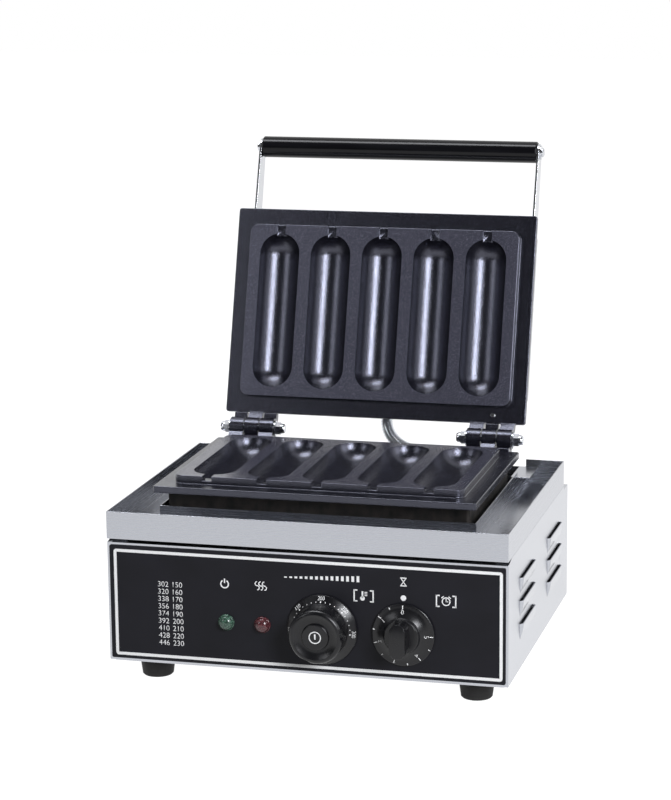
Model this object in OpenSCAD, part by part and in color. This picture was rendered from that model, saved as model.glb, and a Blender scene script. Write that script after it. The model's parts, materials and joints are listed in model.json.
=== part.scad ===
// Countertop hot dog waffle maker: a sheet steel base with a drip tray, two identical cast mould
// plates joined by a pinned hinge, a covered lid with a bar handle, and a front panel with two knobs.
// Sizes are in millimetres. X points right, Y points back and Z points up.
// The origin lies on the table, under the middle of the whole length with the lid open against its stop.

/* [Mould plates] */
// Number of hot dog cavities in each plate
cavity_count = 5; // [4:1:6]
// Distance between the middles of neighbouring cavities
cavity_pitch = 49; // [46:1:56]
// Width of a cavity at the plate's face
cavity_w = 38; // [34:1:42]
// Length of a cavity at the plate's face
cavity_len = 144; // [120:1:170]
// Depth of a cavity
cavity_depth = 16.5; // [13:0.5:17]
// Metal left under a cavity
cavity_floor = 3.5; // [3:0.5:6]
// Metal between the outer cavities and the panel's sides
panel_side_wall = 11; // [6:0.5:20]
// Metal between a cavity's end and the panel's edge
panel_end_wall = 8.6; // [6:0.2:14]
// Height of the raised panel above the flange
panel_h = 6.9; // [5:0.1:9]
// Corner radius of the raised panel
panel_corner_r = 8; // [4:0.5:12]
// Width of the flange at the sides of the panel
flange_side = 14; // [10:0.5:20]
// Width of the flange in front of and behind the panel
flange_end = 15.4; // [12:0.2:20]
// Thickness of the flange
flange_t = 6; // [4:0.5:8]
// Width of the notch for a stick
notch_w = 8.5; // [5:0.5:10]
// Depth of the notch for a stick
notch_depth = 4; // [3:0.2:4.6]
// Gap between the two panels when the lid is shut
plate_gap = 1.2; // [0.8:0.1:2]

/* [Hinge] */
// Angle between the shut lid and the open stop
open_angle = 107; // [95:1:110]
// Distance from the plate's rear edge back to the hinge axis
hinge_setback = 14.4; // [12:0.2:18]
// Distance from the plate's side in to the middle of a hinge
hinge_inset = 30; // [28:1:40]
// Radius of a hinge lug
lug_r = 9; // [7.5:0.5:10]
// Width of a hinge lug
lug_w = 13; // [10:0.5:14]
// Gap between neighbouring lugs
lug_gap = 1.2; // [0.5:0.1:2]
// Diameter of a hinge pin
pin_d = 6; // [5:0.5:8]
// Diameter of a hinge washer
washer_d = 14; // [12:0.5:16]
// Thickness of a hinge washer
washer_t = 1.2; // [0.8:0.1:2]
// Width across the flats of a cap nut
cap_nut_af = 10; // [10:0.5:12]
// Height of a cap nut
cap_nut_h = 8.5; // [7.5:0.5:12]
// Gap left between the open lid's stop heel and the other plate
stop_gap = 0.3; // [0.2:0.1:0.6]

/* [Base] */
// Thickness of the stainless sheet
sheet_t = 1; // [0.8:0.1:1.5]
// Height of the box from its lower edge to the drip tray
body_h = 108; // [95:1:140]
// Drop of the box's front edge and rear ledge below the drip tray
rim_drop = 3; // [2:0.5:6]
// Distance from the base's front to the plate's front edge
plate_setback = 27.6; // [24:0.2:40]
// Distance from the hinge axis back to the drip tray's rear face
tray_behind = 31; // [26:1:40]
// Depth of the ledge behind the drip tray
rear_ledge = 21; // [16:1:40]
// Width of the flanges folded in round the box
fold_w = 14; // [10:1:18]

/* [Drip tray] */
// Height of the tray's outer wall
tray_h = 24; // [18:0.5:30]
// Width of the drip channel along each side
trough_w = 35.3; // [26:0.1:50]
// Height of the upstand round the plate, from the tray's underside
curb_h = 21.4; // [16:0.2:26]
// Gap between the upstand and the heat shield at the sides
curb_side_gap = 5.3; // [3:0.1:10]
// Gap between the upstand and the heat shield in front
curb_front_gap = 3; // [2:0.1:8]
// Drop of the rear wall between its two corner tabs
rear_wall_drop = 7; // [4:0.5:12]
// Depth of the shelf in each rear corner
shelf_d = 42; // [35:1:44]
// Reach of a shelf from the upstand's face towards the plate
shelf_in = 6.3; // [5:0.1:8]
// Reach of a shelf from the upstand's face over the drip channel
shelf_out = 11.3; // [8:0.1:14]

/* [Louvres] */
// Length of a louvre
louvre_len = 63; // [45:1:75]
// Height of a louvre from its lower edge to its slit
louvre_h = 12.5; // [8:0.5:14]
// Rise of a louvre out of the wall
louvre_rise = 2.6; // [2.2:0.2:4]
// Distance between louvres, one above the other
louvre_pitch = 20.3; // [18:0.1:24]
// Louvres in each column
louvre_rows = 3; // [2:1:3]
// Distance between the two columns of louvres
louvre_columns = 130; // [110:1:140]
// Distance from the middle of the box back to the middle of the louvres
louvre_back = 6; // [0:1:10]
// Height of the lowest slit above the box's lower edge
louvre_low = 39.5; // [28:0.5:42]

/* [Lower plate stand] */
// Height of the plate's flange above the drip tray's underside
plate_stand = 35.3; // [32:0.1:45]
// Distance from the plate's sides in to the heat shield
shield_side_inset = 8.6; // [6:0.2:12]
// Distance from the plate's front edge in to the heat shield
shield_front_inset = 15.6; // [10:0.2:20]
// Distance from the plate's rear edge in to the heat shield
shield_rear_inset = 9; // [6:0.5:14]
// Depth of the heat shield below the flange
shield_h = 28; // [25:0.5:31]
// Distance from the middle out to each row of posts, along the depth
post_dy = 45; // [35:1:55]
// Diameter of a post's upper part
post_d = 8; // [6:0.5:10]
// Diameter of a post's lower part
post_foot_d = 14; // [12:0.5:18]
// Width of a support rail
rail_w = 30; // [24:1:36]
// Height of a support rail
rail_h = 14; // [10:1:20]
// Thickness of a support rail
rail_t = 1.5; // [1:0.1:2]
// Gap between a rail's top and the drip tray's underside
rail_drop = 2; // [1:0.5:4]

/* [Heaters] */
// Diameter of the tubular heating element
heater_d = 7; // [6:0.5:8]
// Width of a clamp bar across the element
clamp_w = 18; // [12:1:24]
// Thickness of a clamp bar
clamp_t = 2.5; // [1.5:0.5:4]
// Diameter of the thermostat's bulb
bulb_d = 6; // [4:0.5:6.5]
// Length of the thermostat's bulb
bulb_len = 70; // [50:1:90]
// Diameter of the thermostat's capillary
capillary_d = 2; // [1.5:0.5:3]

/* [Lid] */
// Height of the lid cover behind the plate's flange
cover_h = 54; // [50:1:66]
// Distance from the plate's sides in to the lid cover
cover_side_inset = 9.2; // [8:0.2:16]
// Distance from the plate's front edge in to the lid cover
cover_front_inset = 9.4; // [6:0.2:16]
// Distance from the plate's rear edge in to the lid cover
cover_rear_inset = 24; // [18:0.5:24]
// Corner radius of the lid cover
cover_corner_r = 5; // [3:0.5:8]
// Diameter of the studs that hold the lid cover
stud_d = 5; // [4:0.5:6]

/* [Handle] */
// Diameter of the grip
grip_d = 20; // [18:0.5:26]
// Distance from the plate's front edge to the grip's axis
grip_reach = 65; // [55:1:80]
// Height of the grip's axis above the plates' meeting plane
grip_rise = 43; // [36:1:48]
// Thickness of a handle arm
arm_t = 2; // [1.5:0.5:4]
// Width of a handle arm at the lid
arm_root_w = 24; // [20:1:26]
// Width of a handle arm at the grip
arm_tip_w = 16; // [14:1:18]
// Length of a handle arm alongside the lid cover
arm_overlap = 80; // [60:1:100]
// Diameter of the handle and arm screws
arm_screw_d = 5; // [4:0.5:6]

/* [Front panel] */
// Thickness of the printed fascia
fascia_t = 1; // [0.5:0.1:2]
// Stainless edge left showing round the fascia
fascia_margin = 2.2; // [1:0.1:5]
// Height of the knobs and lamps above the box's lower edge
control_h = 40.5; // [34:0.5:50]
// Place of the green lamp across the panel
power_lamp_x = -69; // [-100:1:-60]
// Place of the red lamp across the panel
heat_lamp_x = -37; // [-45:1:-25]
// Place of the temperature knob across the panel
temperature_x = 16; // [10:1:20]
// Place of the timer knob across the panel
timer_x = 86; // [83:1:110]
// Radius of the temperature knob's skirt
temp_skirt_r = 30.5; // [28:0.5:31]
// Radius of the temperature knob's cap
temp_cap_r = 23.5; // [18:0.5:25]
// Height of the temperature knob
temp_knob_h = 27; // [24:0.5:36]
// Radius of the timer knob's skirt
timer_skirt_r = 27; // [24:0.5:30]
// Radius of the timer knob's boss
timer_boss_r = 15; // [13:0.5:18]
// Width of the timer knob's grip bar
timer_grip_w = 13.5; // [10:0.5:15]
// Height of the timer knob
timer_knob_h = 26; // [20:0.5:32]
// Radius of a lamp's lens
lamp_r = 7.2; // [6:0.2:9]
// Diameter of the knob spindles
spindle_d = 6; // [5:0.5:6.5]

/* [Feet and glands] */
// Height of a rubber foot
foot_h = 19; // [14:1:26]
// Diameter of a foot at the top
foot_d = 31.5; // [24:0.5:36]
// Distance of the feet from the box's sides
foot_inset_x = 33; // [26:1:60]
// Distance of the feet from the front and the back
foot_inset_y = 32; // [30:1:64]
// Outer diameter of the conduit
conduit_d = 12.5; // [10:0.5:13]
// Bore of the conduit
conduit_bore = 9; // [6:0.5:9.5]
// Distance between the conduit's ribs
rib_pitch = 2.4; // [2:0.1:4]
// Depth of the groove between two ribs
rib_depth = 0.7; // [0.4:0.1:1]
// Length of a conduit gland outside its wall
gland_out = 8; // [6:0.5:10]
// Height of the conduit's gland above the plates' meeting plane
conduit_rise = 49.75; // [34:0.25:51]
// Place of the conduit across the lid
conduit_lid_x = 3; // [0:1:10]
// Place of the conduit across the rear wall
conduit_base_x = 72; // [60:1:80]
// Bore of the mains cable gland
mains_bore = 8; // [6:0.5:9]

/* [Hidden] */
$fn = 64;

// Thread of each kind of screw beyond the last sheet, or short of the end of its hole
bottom_screw_end = 4;
foot_screw_end = 5;
arm_screw_end = 6;
grip_screw_end = 3;

// Clearances: a running pin, a screw in its hole, a slip fit, a seat, and cuts that pass right through
run_clear = 0.05;
hole_clear = 0.25;
slip_clear = 0.15;
seat_clear = 0.2;
cut = 1;

// Colours
stainless = [0.78, 0.79, 0.81];
bright_steel = [0.86, 0.87, 0.88];
dark_steel = [0.22, 0.22, 0.23];
nonstick = [0.07, 0.07, 0.08];
black_gloss = [0.03, 0.03, 0.035];
black_rubber = [0.06, 0.06, 0.06];
cream_plastic = [0.85, 0.82, 0.74];
lamp_green = [0.10, 0.45, 0.20];
lamp_red = [0.50, 0.12, 0.12];
copper = [0.72, 0.45, 0.30];

// Mould plate, worked out from its cavities
cavity_r = (cavity_w * cavity_w / 4 + cavity_depth * cavity_depth) / (2 * cavity_depth);
cavity_rise = cavity_r - cavity_depth;
panel_w = (cavity_count - 1) * cavity_pitch + cavity_w + 2 * panel_side_wall;
panel_d = cavity_len + 2 * panel_end_wall;
plate_w = panel_w + 2 * flange_side;
plate_d = panel_d + 2 * flange_end;
flange_corner_r = 2.5;
sole_inset = 4;
sole_end_inset = max(sole_inset, cover_rear_inset - flange_end + 2.4 * sheet_t);
sole_h = cavity_depth + cavity_floor - panel_h - flange_t;

// Heat shield, upstand and base, worked out from the plate
shield_half_w = plate_w / 2 - shield_side_inset;
curb_half_w = shield_half_w + curb_side_gap + sheet_t;
base_w = 2 * (curb_half_w + trough_w);
tray_d = plate_setback + plate_d + hinge_setback + tray_behind;
base_d = tray_d + rear_ledge;

// Places along the depth
front_y = -base_d / 2;
rear_y = base_d / 2;
tray_rear_y = front_y + tray_d;
plate_front_y = front_y + plate_setback;
plate_rear_y = plate_front_y + plate_d;
plate_mid_y = (plate_front_y + plate_rear_y) / 2;
hinge_y = plate_rear_y + hinge_setback;
shield_front_y = plate_front_y + shield_front_inset;
shield_rear_y = plate_rear_y - shield_rear_inset;
curb_front_y = shield_front_y - curb_front_gap - sheet_t;
wall_front_y = front_y + fascia_t;
wall_back_y = wall_front_y + sheet_t;

// Heights
bottom_t = 1;
body_z = foot_h + bottom_t;
tray_z = body_z + body_h;
rim_z = tray_z - rim_drop;
flange_z = tray_z + plate_stand;
flange_top_z = flange_z + flange_t;
panel_top_z = flange_top_z + panel_h;
hinge_z = panel_top_z + plate_gap / 2;
sole_z = flange_z - sole_h;
shield_z = flange_z - shield_h;
rail_top_z = tray_z - rail_drop;
control_z = body_z + control_h;

// Hinge
hinge_x = plate_w / 2 - hinge_inset;
lug_step = lug_w + lug_gap;
lug_group_w = 3 * lug_w + 2 * lug_gap;
nut_bore_depth = 5;
lug_end_gap = 0.3;
pin_len = lug_group_w + 2 * (lug_end_gap + washer_t + nut_bore_depth - seat_clear);
heel_inset = 1;
heel_web = 2;
heel_low = plate_gap / 2 + panel_h + flange_t - heel_inset;
heel_high = pin_d / 2 + heel_web;
heel_w = lug_w - heel_inset;

// Lid cover and handle, in the shut position
cover_half_w = plate_w / 2 - cover_side_inset;
cover_front_y = plate_front_y + cover_front_inset;
cover_rear_y = plate_rear_y - cover_rear_inset;
cover_low_z = 2 * hinge_z - flange_z;
cover_top_z = cover_low_z + cover_h;
grip_y = plate_front_y - grip_reach;
grip_z = hinge_z + grip_rise;
// From the middle of the box to the middle of the whole length, where the origin lies on the table
frame_y = 25.7;
grip_len = 2 * cover_half_w - 2 * slip_clear;
arm_root_y = cover_front_y + arm_overlap;
arm_root_z = (cover_low_z + cover_top_z) / 2;
arm_screw_pitch = 45;
screw_head_h = 2.5;
screw_head_r = arm_screw_d * 0.85;
stud_inset = 24;
stud_x = cover_half_w - stud_inset;
stud_dy = 55;
lid_nut_af = 1.6 * stud_d;
lid_nut_h = 7;
lid_nut_bore = 4;

// Heater legs lie under the ribs between the cavities
leg_count = cavity_count - 1;
leg_r = cavity_pitch / 2;
leg_half = panel_d / 2 - sole_end_inset - heater_d - leg_r;
heater_z = sole_z - heater_d / 2 - seat_clear;
clamp_z = sole_z - 2 * seat_clear - max(heater_d, bulb_d) - clamp_t;
clamp_end = 8;
clamp_half_w = (cavity_count - 2) * cavity_pitch / 2 + heater_d + clamp_end;
clamp_dy = 30;
clamp_screw_x = 1.25 * cavity_pitch;
clamp_screw_d = 4;
clamp_screw_depth = 5;
clamp_head_r = clamp_screw_d * 0.9;
clamp_head_h = 2;
terminal_len = 14;
post_inset = 5;
post_x = panel_w / 2 - panel_side_wall - post_inset;

// Louvres, each a slice of a round bar with sloping ends
louvre_r = (louvre_h * louvre_h + louvre_rise * louvre_rise) / (2 * louvre_rise);
louvre_sink = louvre_r - louvre_rise;

// Controls
knob_gap = 0.6;
bush_r = 5;
lamp_neck_r = 5;
thermostat_size = [44, 34, 30];
timer_size = [46, 40, 46];
spindle_in = 14;

// Conduit glands, and the conduit's route from the lid to the rear wall
gland_r = conduit_d / 2 + 3.5;
gland_bore_r = conduit_bore / 2;
gland_shank_r = conduit_d / 2 + 0.5;
gland_nut_t = 4;
conduit_base_h = 21;
conduit_base_z = body_z + conduit_base_h;
conduit_sides = 8;
conduit_steps = 100;

function shut_to_open(p) =
    let (y = p.y - hinge_y, z = p.z - hinge_z, c = cos(open_angle), s = sin(open_angle))
    [p.x, hinge_y + y * c + z * s, hinge_z - y * s + z * c];

conduit_start = shut_to_open([conduit_lid_x, cover_rear_y + gland_out, hinge_z + conduit_rise]);
conduit_start_in = shut_to_open([conduit_lid_x, cover_rear_y + gland_out + conduit_d,
    hinge_z + conduit_rise]);
conduit_end_in = [conduit_base_x, rear_y + gland_out + conduit_d, conduit_base_z];
conduit_end = [conduit_base_x, rear_y + gland_out, conduit_base_z];
// Points that pull the curve, drawn for these straight ends; each moves with the end it lies nearest to
conduit_drawn_start = [3, 144, 179];
conduit_drawn_end = [72, 163.5, 41];
conduit_pulls = [
    conduit_start_in,
    conduit_start_in + 39 / conduit_d * (conduit_start_in - conduit_start),
    [68, 107, 133] + conduit_start_in - conduit_drawn_start,
    [105, 205, 192] + conduit_end_in - conduit_drawn_end,
    conduit_end_in + 70 / conduit_d * (conduit_end_in - conduit_end),
    conduit_end_in
];

// Smooth curve drawn by its pulling points
function drawn_curve(p, t) =
    len(p) == 1 ? p[0] : drawn_curve([for (i = [0 : len(p) - 2]) p[i] + (p[i + 1] - p[i]) * t], t);
conduit_line = concat(
    [conduit_start],
    [for (k = [0 : conduit_steps]) drawn_curve(conduit_pulls, k / conduit_steps)],
    [conduit_end]
);
conduit_travel = [for (i = 0, s = 0; i < len(conduit_line);
    s = s + (i + 1 < len(conduit_line) ? norm(conduit_line[i + 1] - conduit_line[i]) : 0), i = i + 1) s];
conduit_len = conduit_travel[len(conduit_travel) - 1];
rib_count = floor(conduit_len / rib_pitch);
rib_step = conduit_len / rib_count;
travel_x = [for (i = [0 : len(conduit_line) - 1]) [conduit_travel[i], conduit_line[i].x]];
travel_y = [for (i = [0 : len(conduit_line) - 1]) [conduit_travel[i], conduit_line[i].y]];
travel_z = [for (i = [0 : len(conduit_line) - 1]) [conduit_travel[i], conduit_line[i].z]];
function conduit_at(s) = [lookup(s, travel_x), lookup(s, travel_y), lookup(s, travel_z)];
function unit(v) = v / norm(v);
function heading_at(s) =
    s < rib_step ? unit(conduit_start_in - conduit_start)
    : s > conduit_len - rib_step ? unit(conduit_end - conduit_end_in)
    : unit(conduit_at(s + rib_step) - conduit_at(s - rib_step));
function conduit_ring(s, r) =
    let (p = conduit_at(s), t = heading_at(s), u = unit(cross(t, [1, 0, 0])), v = cross(t, u))
    [for (k = [0 : conduit_sides - 1]) let (a = 360 * k / conduit_sides) p + r * (cos(a) * u + sin(a) * v)];
// Least gap between two stretches of the conduit that lie well apart along it
conduit_least_gap = min([for (i = [0 : 4 : len(conduit_line) - 1], j = [i : 4 : len(conduit_line) - 1])
    conduit_travel[j] - conduit_travel[i] > 5 * conduit_d
        ? norm(conduit_line[j] - conduit_line[i]) - conduit_d : conduit_len]);
echo(conduit_len = conduit_len, rib_count = rib_count, conduit_least_gap = conduit_least_gap);

// Flat rectangle with round corners, centred
module round_rect(w, d, r) {
    square([w - 2 * r, d], center = true);
    square([w, d - 2 * r], center = true);
    for (x = [-1, 1], y = [-1, 1]) translate([x * (w / 2 - r), y * (d / 2 - r)]) circle(r);
}

// Slab with round corners, given by its side, front, rear and height
module slab(half_w, y0, y1, z0, z1, r) {
    translate([0, (y0 + y1) / 2, z0]) linear_extrude(z1 - z0) round_rect(2 * half_w, y1 - y0, r);
}

// Box from one corner to the other
module block(low, high) {
    translate(low) cube(high - low);
}

// Cylinder along X between two places
module rod_x(x0, x1, y, z, r) {
    translate([x0, y, z]) rotate([0, 90, 0]) cylinder(r = r, h = x1 - x0);
}

// Cylinder along Y between two places
module rod_y(x, y0, y1, z, r) {
    translate([x, y0, z]) rotate([-90, 0, 0]) cylinder(r = r, h = y1 - y0);
}

// Puts a piece that is drawn in the shut position on the open lid
module on_open_lid() {
    translate([0, hinge_y, hinge_z]) rotate([-open_angle, 0, 0]) translate([0, -hinge_y, -hinge_z])
        children();
}

// Turns a piece of the lower plate over, to its place on the shut lid
module turned_over() {
    translate([0, 0, hinge_z]) rotate([0, 180, 0]) translate([0, 0, -hinge_z]) children();
}

// Stands a piece on the fascia, with its own Z pointing out to the front
module on_panel(x) {
    translate([x, front_y, control_z]) rotate([90, 0, 0]) children();
}

// Hex nut with a round cap, standing on Z
module cap_nut(af, h, bore_r, bore_depth) {
    hex_h = h * 0.55;
    dome_r = af * 0.46;
    dome_h = dome_r * 0.6;
    difference() {
        union() {
            cylinder(d = af / cos(30), h = hex_h, $fn = 6);
            translate([0, 0, hex_h]) cylinder(r = dome_r, h = h - hex_h - dome_h);
            translate([0, 0, h - dome_h]) intersection() {
                sphere(dome_r);
                cylinder(r = dome_r, h = dome_h);
            }
        }
        translate([0, 0, -cut]) cylinder(r = bore_r, h = cut + bore_depth);
    }
}

// Pan head screw: head above Z zero, shank below it
module pan_screw(head_r, head_h, shank_d, shank_len) {
    rotate_extrude() polygon([
        [0, -shank_len], [shank_d / 2, -shank_len], [shank_d / 2, 0], [head_r, 0], [head_r, head_h * 0.55],
        [head_r * 0.92, head_h * 0.8], [head_r * 0.7, head_h], [0, head_h]
    ]);
}

// Bulge of one louvre along Y, from the wall's face at X zero, less a skin of t
module louvre_bulge(t) {
    reach = louvre_len / 2 - t * sqrt(2);
    intersection() {
        translate([-louvre_sink, 0, 0]) rotate([90, 0, 0])
            cylinder(r = louvre_r - t, h = 2 * louvre_len, center = true);
        linear_extrude(4 * louvre_h, center = true) polygon([
            [-2 * sheet_t, -reach - 2 * sheet_t], [2 * louvre_rise, -reach + 2 * louvre_rise],
            [2 * louvre_rise, reach - 2 * louvre_rise], [-2 * sheet_t, reach + 2 * sheet_t]
        ]);
    }
}

module louvre_places() {
    for (y = [-1, 1], k = [0 : louvre_rows - 1])
        translate([0, louvre_back + y * louvre_columns / 2, body_z + louvre_low + k * louvre_pitch])
            children();
}

// One side wall with its pressed louvres, on the right
module side_wall() {
    outer_x = base_w / 2;
    difference() {
        translate([outer_x - sheet_t, 0, 0]) rotate([90, 0, 90]) linear_extrude(sheet_t) polygon([
            [wall_front_y, body_z], [rear_y, body_z], [rear_y, rim_z], [tray_rear_y, rim_z],
            [tray_rear_y, tray_z], [wall_front_y + fold_w, tray_z], [wall_front_y, rim_z]
        ]);
        louvre_places() translate([outer_x, 0, 0]) intersection() {
            louvre_bulge(sheet_t);
            translate([-2 * sheet_t, -louvre_len, -2 * louvre_h])
                cube([4 * louvre_rise, 2 * louvre_len, 2 * louvre_h]);
        }
    }
    louvre_places() translate([outer_x, 0, 0]) intersection() {
        difference() {
            louvre_bulge(0);
            louvre_bulge(sheet_t);
        }
        translate([-sheet_t, -louvre_len, -2 * louvre_h])
            cube([2 * louvre_rise, 2 * louvre_len, 2 * louvre_h]);
    }
}

module bottom_screw_places() {
    for (x = [-1, 1], y = [-1, 0, 1])
        translate([x * (base_w / 2 - fold_w / 2 - sheet_t), y * (base_d / 2 - 3 * fold_w), 0]) children();
}

module base_housing() color(stainless) difference() {
    half = base_w / 2;
    union() {
        side_wall();
        mirror([1, 0, 0]) side_wall();
        block([-half, wall_front_y, body_z], [half, wall_back_y, rim_z]);
        block([-half, rear_y - sheet_t, body_z], [half, rear_y, rim_z]);
        // Flanges folded in at the top: front, sides and the rear ledge
        block([-half, wall_front_y, rim_z - sheet_t], [half, wall_front_y + fold_w, rim_z]);
        block([-half, tray_rear_y - fold_w, rim_z - sheet_t], [half, rear_y, rim_z]);
        for (x = [-half, half - fold_w])
            block([x, wall_front_y + fold_w, tray_z - sheet_t], [x + fold_w, tray_rear_y, tray_z]);
        // Flanges folded in at the bottom
        difference() {
            block([-half, wall_front_y, body_z], [half, rear_y, body_z + sheet_t]);
            block([-half + fold_w, wall_front_y + fold_w, body_z - cut],
                [half - fold_w, rear_y - fold_w, body_z + 2 * cut]);
        }
    }
    for (x = [temperature_x, timer_x])
        rod_y(x, front_y - cut, wall_back_y + cut, control_z, bush_r + hole_clear);
    for (x = [power_lamp_x, heat_lamp_x])
        rod_y(x, front_y - cut, wall_back_y + cut, control_z, lamp_neck_r + hole_clear);
    rod_y(conduit_base_x, rear_y - 2 * cut, rear_y + cut, conduit_base_z, gland_shank_r + hole_clear);
    rod_y(mains_x, rear_y - 2 * cut, rear_y + cut, conduit_base_z, mains_shank_r + hole_clear);
    bottom_screw_places() translate([0, 0, body_z - cut])
        cylinder(d = clamp_screw_d + 2 * hole_clear, h = 3 * cut);
}

mains_x = -110;
mains_shank_r = mains_bore / 2 + 3;
vent_slot = [4, 40];
vent_count = 9;
vent_pitch = 14;

module bottom_cover() color(stainless) difference() {
    slab(base_w / 2 - 2 * sheet_t, wall_front_y + 2 * sheet_t, rear_y - 2 * sheet_t, foot_h, body_z, 4);
    for (k = [0 : vent_count - 1]) translate([(k - (vent_count - 1) / 2) * vent_pitch, 0, foot_h - cut])
        linear_extrude(bottom_t + 2 * cut) round_rect(vent_slot.x, vent_slot.y, vent_slot.x / 2 - 0.01);
    bottom_screw_places() translate([0, 0, foot_h - cut])
        cylinder(d = clamp_screw_d + 2 * hole_clear, h = bottom_t + 2 * cut);
    foot_places() translate([0, 0, foot_h - cut])
        cylinder(d = foot_screw_d + 2 * hole_clear, h = bottom_t + 2 * cut);
}

module bottom_screws() color(bright_steel)
    bottom_screw_places() translate([0, 0, foot_h]) mirror([0, 0, 1])
        pan_screw(clamp_head_r, clamp_head_h, clamp_screw_d, bottom_t + sheet_t + bottom_screw_end);

module control_fascia() color(black_gloss) difference() {
    translate([0, wall_front_y, 0]) rotate([90, 0, 0]) translate([0, (body_z + rim_z) / 2, 0])
        linear_extrude(fascia_t)
            round_rect(base_w - 2 * fascia_margin, rim_z - body_z - 2 * fascia_margin, 1.5);
    for (x = [temperature_x, timer_x]) rod_y(x, front_y - cut, wall_back_y, control_z, bush_r + hole_clear);
    for (x = [power_lamp_x, heat_lamp_x])
        rod_y(x, front_y - cut, wall_back_y, control_z, lamp_neck_r + hole_clear);
}

module drip_tray() color(stainless) {
    half = base_w / 2;
    wall_top = tray_z + tray_h;
    curb_top = tray_z + curb_h;
    shelf_z = wall_top - rear_wall_drop - sheet_t;
    shelf_y = tray_rear_y - shelf_d;
    // Floor of the drip channel, open inside the upstand
    difference() {
        block([-half, front_y, tray_z], [half, tray_rear_y, tray_z + sheet_t]);
        block([-curb_half_w + sheet_t, curb_front_y + sheet_t, tray_z - cut],
              [curb_half_w - sheet_t, tray_rear_y - sheet_t, tray_z + 2 * cut]);
    }
    // Outer walls
    block([-half, front_y, tray_z], [half, front_y + sheet_t, wall_top]);
    for (x = [-half, half - sheet_t]) block([x, front_y, tray_z], [x + sheet_t, tray_rear_y, wall_top]);
    block([-half, tray_rear_y - sheet_t, tray_z], [half, tray_rear_y, wall_top - rear_wall_drop]);
    for (x = [-half, curb_half_w])
        block([x, tray_rear_y - sheet_t, tray_z], [x + trough_w, tray_rear_y, wall_top]);
    // Upstand round the cooking plate, lower under the shelves in the rear corners
    block([-curb_half_w, curb_front_y, tray_z], [curb_half_w, curb_front_y + sheet_t, curb_top]);
    for (x = [-curb_half_w, curb_half_w - sheet_t]) {
        block([x, curb_front_y, tray_z], [x + sheet_t, shelf_y, curb_top]);
        block([x, shelf_y - cut, tray_z], [x + sheet_t, tray_rear_y, shelf_z + sheet_t]);
    }
    for (side = [0, 1]) mirror([side, 0, 0])
        block([curb_half_w - shelf_in, shelf_y, shelf_z],
              [curb_half_w + shelf_out, tray_rear_y, shelf_z + sheet_t]);
}

module support_rail(y) color(stainless) {
    half = base_w / 2 - sheet_t - slip_clear;
    difference() {
        block([-half, y - rail_w / 2, rail_top_z - rail_h], [half, y + rail_w / 2, rail_top_z]);
        block([-half - cut, y - rail_w / 2 + rail_t, rail_top_z - rail_h - cut],
              [half + cut, y + rail_w / 2 - rail_t, rail_top_z - rail_t]);
        for (x = [-post_x, post_x]) translate([x, y, rail_top_z - 2 * rail_t])
            cylinder(d = post_stem_d + 2 * hole_clear, h = 3 * rail_t);
    }
}
module support_rail_front() support_rail(plate_mid_y - post_dy);
module support_rail_rear() support_rail(plate_mid_y + post_dy);

post_stem_d = 5;
post_stem_len = 6;

module post_places() {
    for (x = [-post_x, post_x], y = [-post_dy, post_dy]) translate([x, plate_mid_y + y, 0]) children();
}

module plate_posts() color(bright_steel) post_places() {
    translate([0, 0, rail_top_z - post_stem_len]) cylinder(d = post_stem_d, h = post_stem_len);
    translate([0, 0, rail_top_z]) cylinder(d = post_foot_d, h = shield_z - rail_top_z);
    translate([0, 0, shield_z]) cylinder(d = post_d, h = sole_z - shield_z);
}

capillary_x = (1.5 - (leg_count - 1) / 2) * cavity_pitch;
capillary_inset = 12;
capillary_rise = 12;
capillary_y = shield_front_y + capillary_inset;

module lower_heat_shield() color(dark_steel) difference() {
    slab(shield_half_w, shield_front_y, shield_rear_y, shield_z, flange_z, 3);
    slab(shield_half_w - sheet_t, shield_front_y + sheet_t, shield_rear_y - sheet_t, shield_z + sheet_t,
        flange_z + cut, 2);
    post_places() translate([0, 0, shield_z - cut]) cylinder(d = post_d + 2 * hole_clear, h = 3 * cut);
    translate([capillary_x, capillary_y, shield_z - cut])
        cylinder(d = capillary_d + 4 * hole_clear, h = 3 * cut);
    for (x = heater_terminal_x) translate([x, plate_mid_y + leg_half + terminal_len, 0])
        translate([0, 0, shield_z - cut]) cylinder(d = heater_d, h = 3 * cut);
}

heater_terminal_x = [-(leg_count - 1) / 2 * cavity_pitch, (leg_count - 1) / 2 * cavity_pitch];

// One hinge lug of the lower plate: barrel, neck and the heel that stops the lid
module lug(x) {
    rod_x(x - lug_w / 2, x + lug_w / 2, hinge_y, hinge_z, lug_r);
    translate([x - lug_w / 2, 0, 0]) rotate([90, 0, 90]) linear_extrude(lug_w) polygon([
        [plate_rear_y - cut, flange_z], [hinge_y, hinge_z - lug_r], [hinge_y, hinge_z],
        [hinge_y - lug_r * 0.8, hinge_z - plate_gap], [plate_rear_y - cut, flange_top_z]
    ]);
    translate([x - heel_w / 2, hinge_y, hinge_z]) mirror([0, 0, 1]) rotate([open_angle, 0, 0])
        translate([0, -(hinge_setback - stop_gap), -heel_low])
            cube([heel_w, hinge_setback - stop_gap, heel_low - heel_high]);
}

module cavity_places() {
    for (k = [0 : cavity_count - 1])
        translate([(k - (cavity_count - 1) / 2) * cavity_pitch, plate_mid_y, panel_top_z]) children();
}

// Half-round cavity with round ends, and the notch that takes the stick
module cavity() {
    half = (cavity_len - cavity_w) / 2;
    translate([0, 0, cavity_rise]) rotate([90, 0, 0]) {
        cylinder(r = cavity_r, h = 2 * half, center = true);
        for (z = [-half, half]) translate([0, 0, z]) sphere(cavity_r);
    }
    translate([-notch_w / 2, -panel_d / 2 - cut, -notch_depth])
        cube([notch_w, panel_d / 2 + cut - half - cavity_w / 4, notch_depth + cut]);
}

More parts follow.
